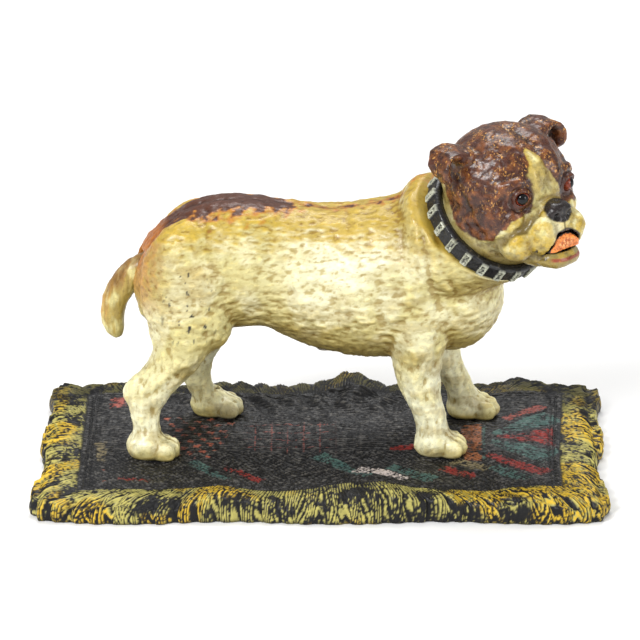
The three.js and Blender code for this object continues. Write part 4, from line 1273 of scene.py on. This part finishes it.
# black strap with raised silvered bars, worked as one tube of rings round the neck
def makeCollar():
    steps, around = 1260, 2 * math.pi
    half = collar["width"] / 2
    outline = [(-half, 0.0), (-half + 0.5, 0.75), (-half + 1.0, 1.0)]
    outline += [(a, 1.0) for a in np.linspace(-half + 1.2, half - 1.2, 17)]
    outline += [(half - 1.0, 1.0), (half - 0.5, 0.75), (half, 0.0)]
    outline = [(-half + 0.25, -1.0)] + outline + [(half - 0.25, -1.0)]
    side = unit(np.cross((0, 1, 0), neckAxis))
    other = np.cross(neckAxis, side)
    middle = (collar["inner"] + collar["outer"]) / 2
    depth = (collar["outer"] - collar["inner"]) / 2
    angle = np.linspace(0, around, steps, endpoint=False)
    share = (angle / around * collar["bars"] + collar["firstBar"]) % 1 - 0.5
    local = share / collar["bars"] * around * collar["outer"]
    wobble = 0.1 * np.sin(angle * 17 + 1.0)
    verts, marks = [], []
    for along, out in outline:
        lean = local + 0.10 * along
        fromMiddle, barHalf = np.abs(lean + wobble), collar["barHalf"]
        bar = ramp(fromMiddle, barHalf + 0.22, barHalf - 0.12) * ramp(abs(along), half - 0.45, half - 0.8)
        hollow = ramp(fromMiddle, barHalf - 0.35, barHalf - 0.75) * ramp(abs(along), half - 1.2, half - 1.8)
        lift = (bar * collar["barRise"] - hollow * 0.5) * (1.0 if out > 0.9 else 0.0)
        distance = middle + depth * out + lift
        verts.append(ringCentre + neckAxis * along + np.outer(np.cos(angle) * distance, side)
                     + np.outer(np.sin(angle) * distance, other))
        marks.append((bar if out > 0.9 else bar * 0) - 0.45 * hollow)
    rows = len(outline)
    allVerts = np.vstack(verts)
    faces = []
    for row in range(rows):
        after = (row + 1) % rows
        for k in range(steps):
            b = (k + 1) % steps
            faces.append((row * steps + k, row * steps + b, after * steps + b, after * steps + k))
    strap = newMesh("collarBand", [(allVerts, faces)])
    marks = np.concatenate(marks)
    norms = normals(strap.data)
    verts = points(strap.data)
    rough = grain(verts, 0.5, 3, 8.0)
    setPoints(strap.data, verts + norms * (rough * 0.14)[:, None])
    worn = grain(verts, 1.1, 3, 33.0)
    silver = ramp(marks + worn * 0.32, 0.42, 0.66)
    colour = np.tile(np.array(collar["black"]), (len(verts), 1))
    pale = np.array(collar["silver"]) * (0.75 + 0.5 * ramp(worn, -0.4, 0.5))[:, None]
    colour = mixed(colour, pale, silver)
    rubbed = ramp(worn + 0.3 * rough, 0.62, 0.85) * 0.5
    colour = mixed(colour, np.array(collar["rubbed"]), rubbed)
    setAttribute(strap.data, "paint", colour)
    setAttribute(strap.data, "relief", np.full(len(verts), 0.5) - 0.25 * ramp(marks, 0.2, -0.4))
    coat = castPaint("collarPaint", (0.3, 0.3, 0.24), (0.02, 0.02, 0.02), (600, 600, 600),
                     wash=0.4, gloss=0.24)
    strap.data.materials.append(coat)
    finishPiece(strap)
    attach(strap, "bank")
    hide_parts("collar")


makeCollar()
print("collar ready")


rug = {
    "half": (106.3, 61.3), "limit": (112.5, 63.0), "field": (91.5, 46.5), "cells": (508, 258),
    "top": 9.0, "rim": 7.0, "ceiling": 4.9, "strand": 1.2, "tuft": 7.9,
    "figures": [  # woven bars and wedges: colour, start, end, width at each end, in mm
        ("carpetRed", (69, 2), (91, 2), 1, 19), ("carpetTeal", (67, 4), (92, 23), 3, 14),
        ("carpetTeal", (66, -3), (90, -19), 5, 16), ("carpetRed", (64, -16), (87, -35), 5, 8),
        ("carpetPink", (73, 20), (88, 34), 5, 5), ("carpetOrange", (59, 14), (59, -23), 9, 7),
        ("carpetTeal", (64, 12), (63, -23), 1.5, 1.5), ("carpetTeal", (-1, -17), (19, -41), 7, 5),
        ("carpetWhite", (14, -30), (33, -43), 8, 5), ("carpetTeal", (26, -29), (44, -42), 8, 7),
        ("carpetRed", (46, -30), (59, -38), 5, 6), ("carpetTeal", (66, -28), (80, -42), 7, 6),
        ("carpetOlive", (50, -23), (65, -30), 6, 6), ("carpetRed", (27, -11), (37, -8), 4, 5),
        ("carpetSalmon", (-46, 20), (-49, -20), 30, 13), ("carpetTeal", (-50, -23), (-35, -43), 6, 5),
        ("carpetRed", (-37, -29), (-22, -43), 4, 4), ("carpetRed", (-77, -40), (-65, -42), 3.5, 3.5),
        ("carpetSalmon", (-83, -31), (-82, -44), 2, 2), ("carpetOlive", (-85, -4), (-84, -24), 5, 4),
        ("carpetPink", (-80, 42), (-80, 31), 6, 6),
    ],
}
colours.update({
    "charcoal": (0.009, 0.009, 0.010), "ash": (0.13, 0.125, 0.12),
    "carpetRed": (0.20, 0.024, 0.020), "carpetTeal": (0.055, 0.115, 0.105), "carpetPink": (0.28, 0.075, 0.06),
    "carpetOrange": (0.24, 0.085, 0.035), "carpetWhite": (0.50, 0.44, 0.42),
    "carpetOlive": (0.17, 0.14, 0.08), "carpetSalmon": (0.28, 0.085, 0.055),
    "fringeYellow": (0.60, 0.40, 0.03), "fringeOlive": (0.42, 0.38, 0.11),
    "fringeBlack": (0.007, 0.007, 0.008),
})


def rugFold(x, y):
    across = x - (20 - y * 0.12)
    nearEdge = np.clip((np.abs(y) - 26) / 34, 0, 1)
    fold = 3.6 * np.exp(-(across / 8) ** 2) * nearEdge
    fold = fold + 1.6 * np.exp(-((x + 38) / 9) ** 2) * np.maximum(0, (-y - 30) / 30)
    fold = fold + 1.8 * np.exp(-((x - 78) / 8) ** 2) * np.maximum(0, (np.abs(y) - 36) / 24)
    return fold + 0.7 * np.sin(x * 0.16 + 1) * np.maximum(0, (np.abs(y) - 34) / 26)


def insideFigure(x, y, start, end, startWidth, endWidth):
    along = np.array(end, float) - start
    length = np.hypot(*along)
    share = ((x - start[0]) * along[0] + (y - start[1]) * along[1]) / length ** 2
    across = np.abs((x - start[0]) * along[1] - (y - start[1]) * along[0]) / length
    fromSides = startWidth + (endWidth - startWidth) * share - 2 * across
    return np.minimum(fromSides, np.minimum(share, 1 - share) * length * 2) / 2


def padded(values, count):
    return np.concatenate([values, np.zeros(count - len(values))])


# the rug is one skin: a woven field, rings of fringe round it, the rim below and the hollow under it
fringeSteps = np.concatenate([np.linspace(0, 1, 30)[1:], 1 + np.linspace(0, 1, 13)[1:]])


def rugGrid():
    (columns, rows), (fieldX, fieldY) = rug["cells"], rug["field"]
    spreadX, spreadY = np.linspace(-fieldX, fieldX, columns + 1), np.linspace(-fieldY, fieldY, rows + 1)
    gridX, gridY = np.meshgrid(spreadX, spreadY, indexing="ij")
    number = np.arange(gridX.size).reshape(gridX.shape)
    corners = (number[:-1, :-1], number[1:, :-1], number[1:, 1:], number[:-1, 1:])
    quads = np.column_stack([corner.ravel() for corner in corners])
    edge = np.concatenate([number[:, 0], number[-1, 1:], number[-2::-1, -1], number[0, -2:0:-1]])
    return np.column_stack([gridX.ravel(), gridY.ravel()]), quads, edge


def fringeEdge(shareX, shareY):
    halfX, halfY = rug["half"]
    outX = shareX * (halfX + 1.4 * np.sin(shareY * 7.3 + 0.5) * shareX * shareX)
    outY = shareY * (halfY + 1.3 * np.sin(shareX * 8.6 + 1.1) * shareY * shareY)
    outer = np.column_stack([outX, outY])
    along = np.concatenate([[0], np.cumsum(np.hypot(*np.diff(outer, axis=0).T))])
    corner = np.clip(np.abs(shareX) + np.abs(shareY) - 1.86, 0, 0.14) / 0.14
    outer = outer * (1 - corner[:, None] * 0.018)
    outer[:, 0] *= 1 + 0.02 * ramp(-shareY, 0.4, 1)
    return outer, along


# seen from above: where each point lies, and how far out, down and along the fringe it is
def rugPlan():
    level, quads, edge = rugGrid()
    flat = level.copy()
    nearWave = 1 - bump(level[:, 0], 14, 13) - bump(level[:, 0], 97, 14) - 0.6 * bump(level[:, 0], -52, 9)
    flat[:, 1] -= 3.6 * nearWave * ramp(-level[:, 1], 22, rug["field"][1])
    outer, along = fringeEdge(*(level[edge] / rug["field"]).T)
    outward = outer - flat[edge]
    length = np.linalg.norm(outward, axis=1)
    outward = outward / length[:, None]
    rings, marks = [flat], [np.column_stack([np.zeros((len(flat), 3)), np.ones(len(flat))])]
    for step in fringeSteps:
        reach = length * min(step, 1)
        rings.append(flat[edge] + outward * reach[:, None])
        marks.append(np.column_stack([reach, np.full(len(edge), max(step - 1, 0)), along, length]))
    place = np.vstack(rings)
    place[:, 0] += 4.4 * ramp(place[:, 1], -30, 58) * ramp(place[:, 0], 30, 100)
    cloth = {"level": level, "quads": quads, "edge": edge, "place": place}
    cloth.update(outward=outward, edgeAlong=along)
    cloth.update(zip(("reach", "lower", "along", "full"), np.vstack(marks).T))
    cloth["outside"] = np.arange(len(place)) >= len(flat)
    return cloth


def rugHeight(x, y):
    inward = np.minimum(rug["half"][0] - np.abs(x), rug["half"][1] - np.abs(y))
    hump = 2.0 * bump(x, 13, 9) * ramp(y, 34, 50) + 1.4 * bump(x, 14, 12) * ramp(-y, 34, 46)
    return rug["top"] + rugFold(x, y) + hump - 3.4 * np.exp(-np.maximum(inward, 0) / 2.4)


# strands of the fringe sway and gather in tufts
def fringeRelief(cloth):
    reach, along, outside = cloth["reach"], cloth["along"], cloth["outside"]
    sway = np.zeros(len(reach))
    swayPlace = np.column_stack([along, reach * 0.5, cloth["lower"] * 4])[outside]
    sway[outside] = grain(swayPlace, 0.07, 2, 5.0) * 4.2
    ripple = 1.2 * np.sin(along / rug["tuft"] * 2 * math.pi) * np.clip(reach / 14, 0, 1)
    phase = along + sway * np.clip(reach / 13, 0, 1.2) + ripple
    cloth["sway"] = sway
    cloth["strand"] = np.abs(np.sin(math.pi * phase / rug["strand"])) ** 0.8
    cloth["tuft"] = 0.5 + 0.5 * np.cos(2 * math.pi * (along + 0.6 * sway) / rug["tuft"])
    cloth["fringe"] = ramp(reach, 0.4, 1.6) * outside


def borderLines(cloth, coarse):
    (fieldX, fieldY), level = rug["field"], cloth["level"]
    lines = np.zeros(len(level))
    for offset, depth in ((0.0, 0.55), (1.7, 0.4)):
        fromEdge = np.array((fieldX - 1.8 - offset, fieldY - 1.6 - offset)) - np.abs(level)
        box = fromEdge.min(axis=1) + 0.25 * coarse[:len(level)]
        lines = np.maximum(lines, depth * bump(box, 0, 0.45))
    return padded(lines, len(coarse))


def weaveRelief(cloth, height):
    x, y = cloth["place"].T
    level = np.zeros(len(x))
    coarse = grain(np.column_stack([x, y, height]), 0.12, 3, 7.0)
    weave = grain(np.column_stack([x, y, level]), (0.28, 1.1, 1.0), 3, 23.0)
    slanted = np.column_stack([x * 0.8 + y * 0.6, y * 0.8 - x * 0.6, level])
    diagonal = grain(slanted, (0.22, 1.0, 1.0), 3, 43.0)
    flow = np.where(y < -14, (x * 0.77 + y * 0.64) / 1.9, (y + 0.12 * x) / 2.1)
    crease = 0.9 * np.sin(x * 0.55 + 2.2 * np.sin(y * 0.2 + x * 0.05))
    crease = crease * ramp(y, 24, 38) * ramp(np.abs(x + 12), 62, 40)
    pattern = np.where(y < -16, diagonal, weave)
    carved = np.abs(np.sin(math.pi * (flow + 1.5 * coarse))) ** 0.7
    lines = borderLines(cloth, coarse)
    field = (1 - cloth["fringe"]) * ~cloth["outside"]
    lift = field * (pattern * 0.26 + carved * 0.62 + coarse * 0.7 - lines + crease * 0.9 - 0.25)
    tufts = cloth["tuft"] * 0.9 * ramp(cloth["reach"], 3, 12)
    lift = lift + cloth["fringe"] * (cloth["strand"] * 0.8 + tufts + coarse * 0.6 - 0.4)
    cloth.update(pattern=pattern, carved=carved, lines=lines, field=field, lift=lift)


# the fringe spreads, bellies out and comes down to the floor
def spreadFringe(cloth):
    reach, full, lower, outside = cloth["reach"], cloth["full"], cloth["lower"], cloth["outside"]
    rounds, still = len(fringeSteps), np.zeros(len(cloth["edge"]))
    scallop = grain(np.column_stack([still, cloth["edgeAlong"], still]), 0.16, 2, 3.0)
    out = np.zeros_like(cloth["place"])
    out[outside] = np.tile(cloth["outward"], (rounds, 1))
    ends = cloth["fringe"] * ramp(reach, full * 0.75, full)
    push = ends * (cloth["strand"] * 0.55 + cloth["tuft"] * 1.1 - 0.9)
    push[outside] += np.tile(scallop, rounds) * 0.9 * ramp(reach[outside], 6, 13)
    belly = 0.9 * np.sin(np.clip(lower, 0, 1) * math.pi * 0.9)
    limit = np.array(rug["limit"])
    return np.clip(cloth["place"] + out * (push + belly)[:, None], -limit, limit)


def makeRug():
    cloth = rugPlan()
    height = rugHeight(*cloth["place"].T)
    fringeRelief(cloth)
    weaveRelief(cloth, height)
    height = (height + cloth["lift"] * (1 - cloth["lower"])) * (1 - cloth["lower"])
    solid = np.column_stack([spreadFringe(cloth), np.maximum(height, 0)])
    edge, count = cloth["edge"], len(cloth["edge"])
    rim = solid[-count:].copy()
    rim[:, :2] -= cloth["outward"] * rug["rim"]
    wall = rim.copy()
    wall[:, 2] = rug["ceiling"]
    solid = np.vstack([solid, rim, wall])
    starts = range(len(cloth["level"]), len(solid), count)
    rows = [edge] + [start + np.arange(count) for start in starts]
    strips = [np.column_stack([b, np.roll(b, -1), np.roll(a, -1), a]) for a, b in zip(rows[:-1], rows[1:])]
    faces = np.vstack([cloth["quads"]] + strips).tolist() + [rows[-1][::-1].tolist()]
    piece = newMesh("rugBase", [(solid, faces)])
    print("rug laid", len(solid))
    return piece, solid, cloth


def fringePaint(solid, cloth, fine, broad):
    x, y, count = solid[:, 0], solid[:, 1], len(solid)
    crest, gather = padded(cloth["strand"], count), padded(cloth["sway"], count)
    glow = grain(solid, (0.05, 0.05, 0.05), 2, 91.0)
    # the fringe is painted darker towards the far side of the rug: painted shade
    far = ramp(y, 26, 48)
    olive = ramp(crest + 0.4 * fine + 0.5 * broad, 0.8, 1.04) * (0.95 - far * 0.72)
    yellow = ramp(glow + 0.05 * gather + 0.22 * ramp(np.abs(x), 92, 104) - 0.2 * far, 0.02, 0.34)
    yellow = yellow * ramp(crest + 0.4 * fine, 0.8, 1.02) * (1 - far * 0.75)
    return blend(blend(coated("fringeBlack", count), "fringeOlive", olive), "fringeYellow", yellow)


def rugPaint(solid, cloth):
    x, y, z = solid.T
    count = len(solid)
    fine = grain(solid, 0.9, 3, 71.0)
    broad = grain(solid, 0.14, 3, 81.0)
    keys = ("pattern", "carved", "field", "lines", "fringe")
    ridge, crests, field, lines, fringe = (padded(cloth[key], count) for key in keys)
    pile = ramp(ridge * 0.6 + crests * 0.5 + 0.35 * fine, 0.42, 0.8)
    colour = blend(coated("charcoal", count), "ash", pile * field * 0.6)
    for name, start, end, startWidth, endWidth in rug["figures"]:
        depth = insideFigure(x, y, start, end, startWidth, endWidth) + 0.9 * fine + 0.5 * broad
        hatch = ramp(ridge * 0.9 + crests * 0.6 + fine * 0.6 + broad * 0.5, 0.12, 0.62)
        if name == "carpetSalmon":
            cross = np.abs(np.sin((x + 0.45 * y) * 0.55)) + np.abs(np.sin((y - 0.3 * x) * 0.5))
            hatch = hatch * ramp(cross, 1.05, 0.75)
        if endWidth > 18:
            hatch = hatch * (0.35 + 0.65 * ramp(np.abs(np.sin((y * 0.5 + x) * 0.62)), 0.25, 0.6))
        if name == "carpetTeal":
            hatch = hatch * 0.85
        colour = blend(colour, name, ramp(depth, 0.0, 0.8) * hatch * field)
    threads = ramp(np.abs(np.sin(x * 0.5)), 0.16, 0.05) + ramp(np.abs(np.sin(y * 0.42 + 0.6)), 0.14, 0.05)
    middle = ramp(insideFigure(x, y, (-31, 1), (7, 1), 31, 34), 0, 4) * ramp(fine, -0.2, 0.3)
    colour = blend(colour, "carpetPink", np.clip(threads, 0, 1) * middle * 0.75 * field)
    colour = blend(colour, "fringeBlack", np.clip(lines * 1.8, 0, 0.9) * field)
    colour = mixed(colour, fringePaint(solid, cloth, fine, broad), fringe)
    under = 1.0 * (np.arange(count) >= len(cloth["lift"]))
    colour = blend(colour, "iron", under)
    # the rug turns black where it comes down to the floor: painted shadow
    return blend(colour, "fringeBlack", ramp(z, 1.6, 0.2) * 0.6)


def finishRug():
    piece, solid, cloth = makeRug()
    colour = rugPaint(solid, cloth)
    relief = 0.5 + 0.42 * np.clip(padded(cloth["lift"], len(solid)), -1, 1)
    source = points(piece.data).copy()
    for pawX, pawY, _ in body["paws"].values():
        x, y = pawX + dogShift[0], pawY + dogShift[1]
        cutAway(piece, newMesh("boss", [rodMesh((x, y, 0.6), (x, y, rug["top"] - 1.5), 5.6, 32)]), "UNION")
        cutAway(piece, newMesh("threadHole", [rodMesh((x, y, -5), (x, y, 30), 1.8)]))
        cutAway(piece, newMesh("headSeat", [rodMesh((x, y, -5), (x, y, 3.1), 3.6)]))
    carryPaint(piece.data, source, colour, relief, 0.6, 1.2)
    coat = castPaint("rugPaint", (0.35, 0.35, 0.33), (0.012, 0.012, 0.012), (300, 900, 600),
                     wash=0.6, gloss=0.34, rub=0.5, streaks=0.3, shine=0.28)
    piece.data.materials.clear()
    piece.data.materials.append(coat)
    finishPiece(piece, np.zeros(3))
    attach(piece, "bank")
    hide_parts("rug_base")


finishRug()
print("rug ready")


# screws, pins, rod, spring and trap keep their frame solids and get their metal here
hardware = {
    "screwSteel": {
        "finish": ((0.30, 0.27, 0.23), 0.38, 1.0, 0.7, (0.10, 0.055, 0.03), 900.0),
        "nodes": ("paw_screw_1", "paw_screw_2", "paw_screw_3", "paw_screw_4", "body_screw_front",
                  "body_screw_rear", "trap_screw", "tail_pin", "tongue_pin", "push_rod"),
    },
    "springWire": {
        "finish": ((0.22, 0.21, 0.21), 0.30, 1.0, 0.4, (0.09, 0.06, 0.04), 1500.0),
        "nodes": ("return_spring",),
    },
    "blackedIron": {
        "finish": ((0.035, 0.033, 0.031), 0.5, 0.6, 0.6, (0.11, 0.07, 0.045), 450.0),
        "nodes": ("trap_cover",),
    },
}


def finishHardware():
    for name, kind in hardware.items():
        metal = plainMaterial(name, *kind["finish"])
        for node in kind["nodes"]:
            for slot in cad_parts[node].material_slots:
                slot.material = metal


finishHardware()
print("hardware finished")
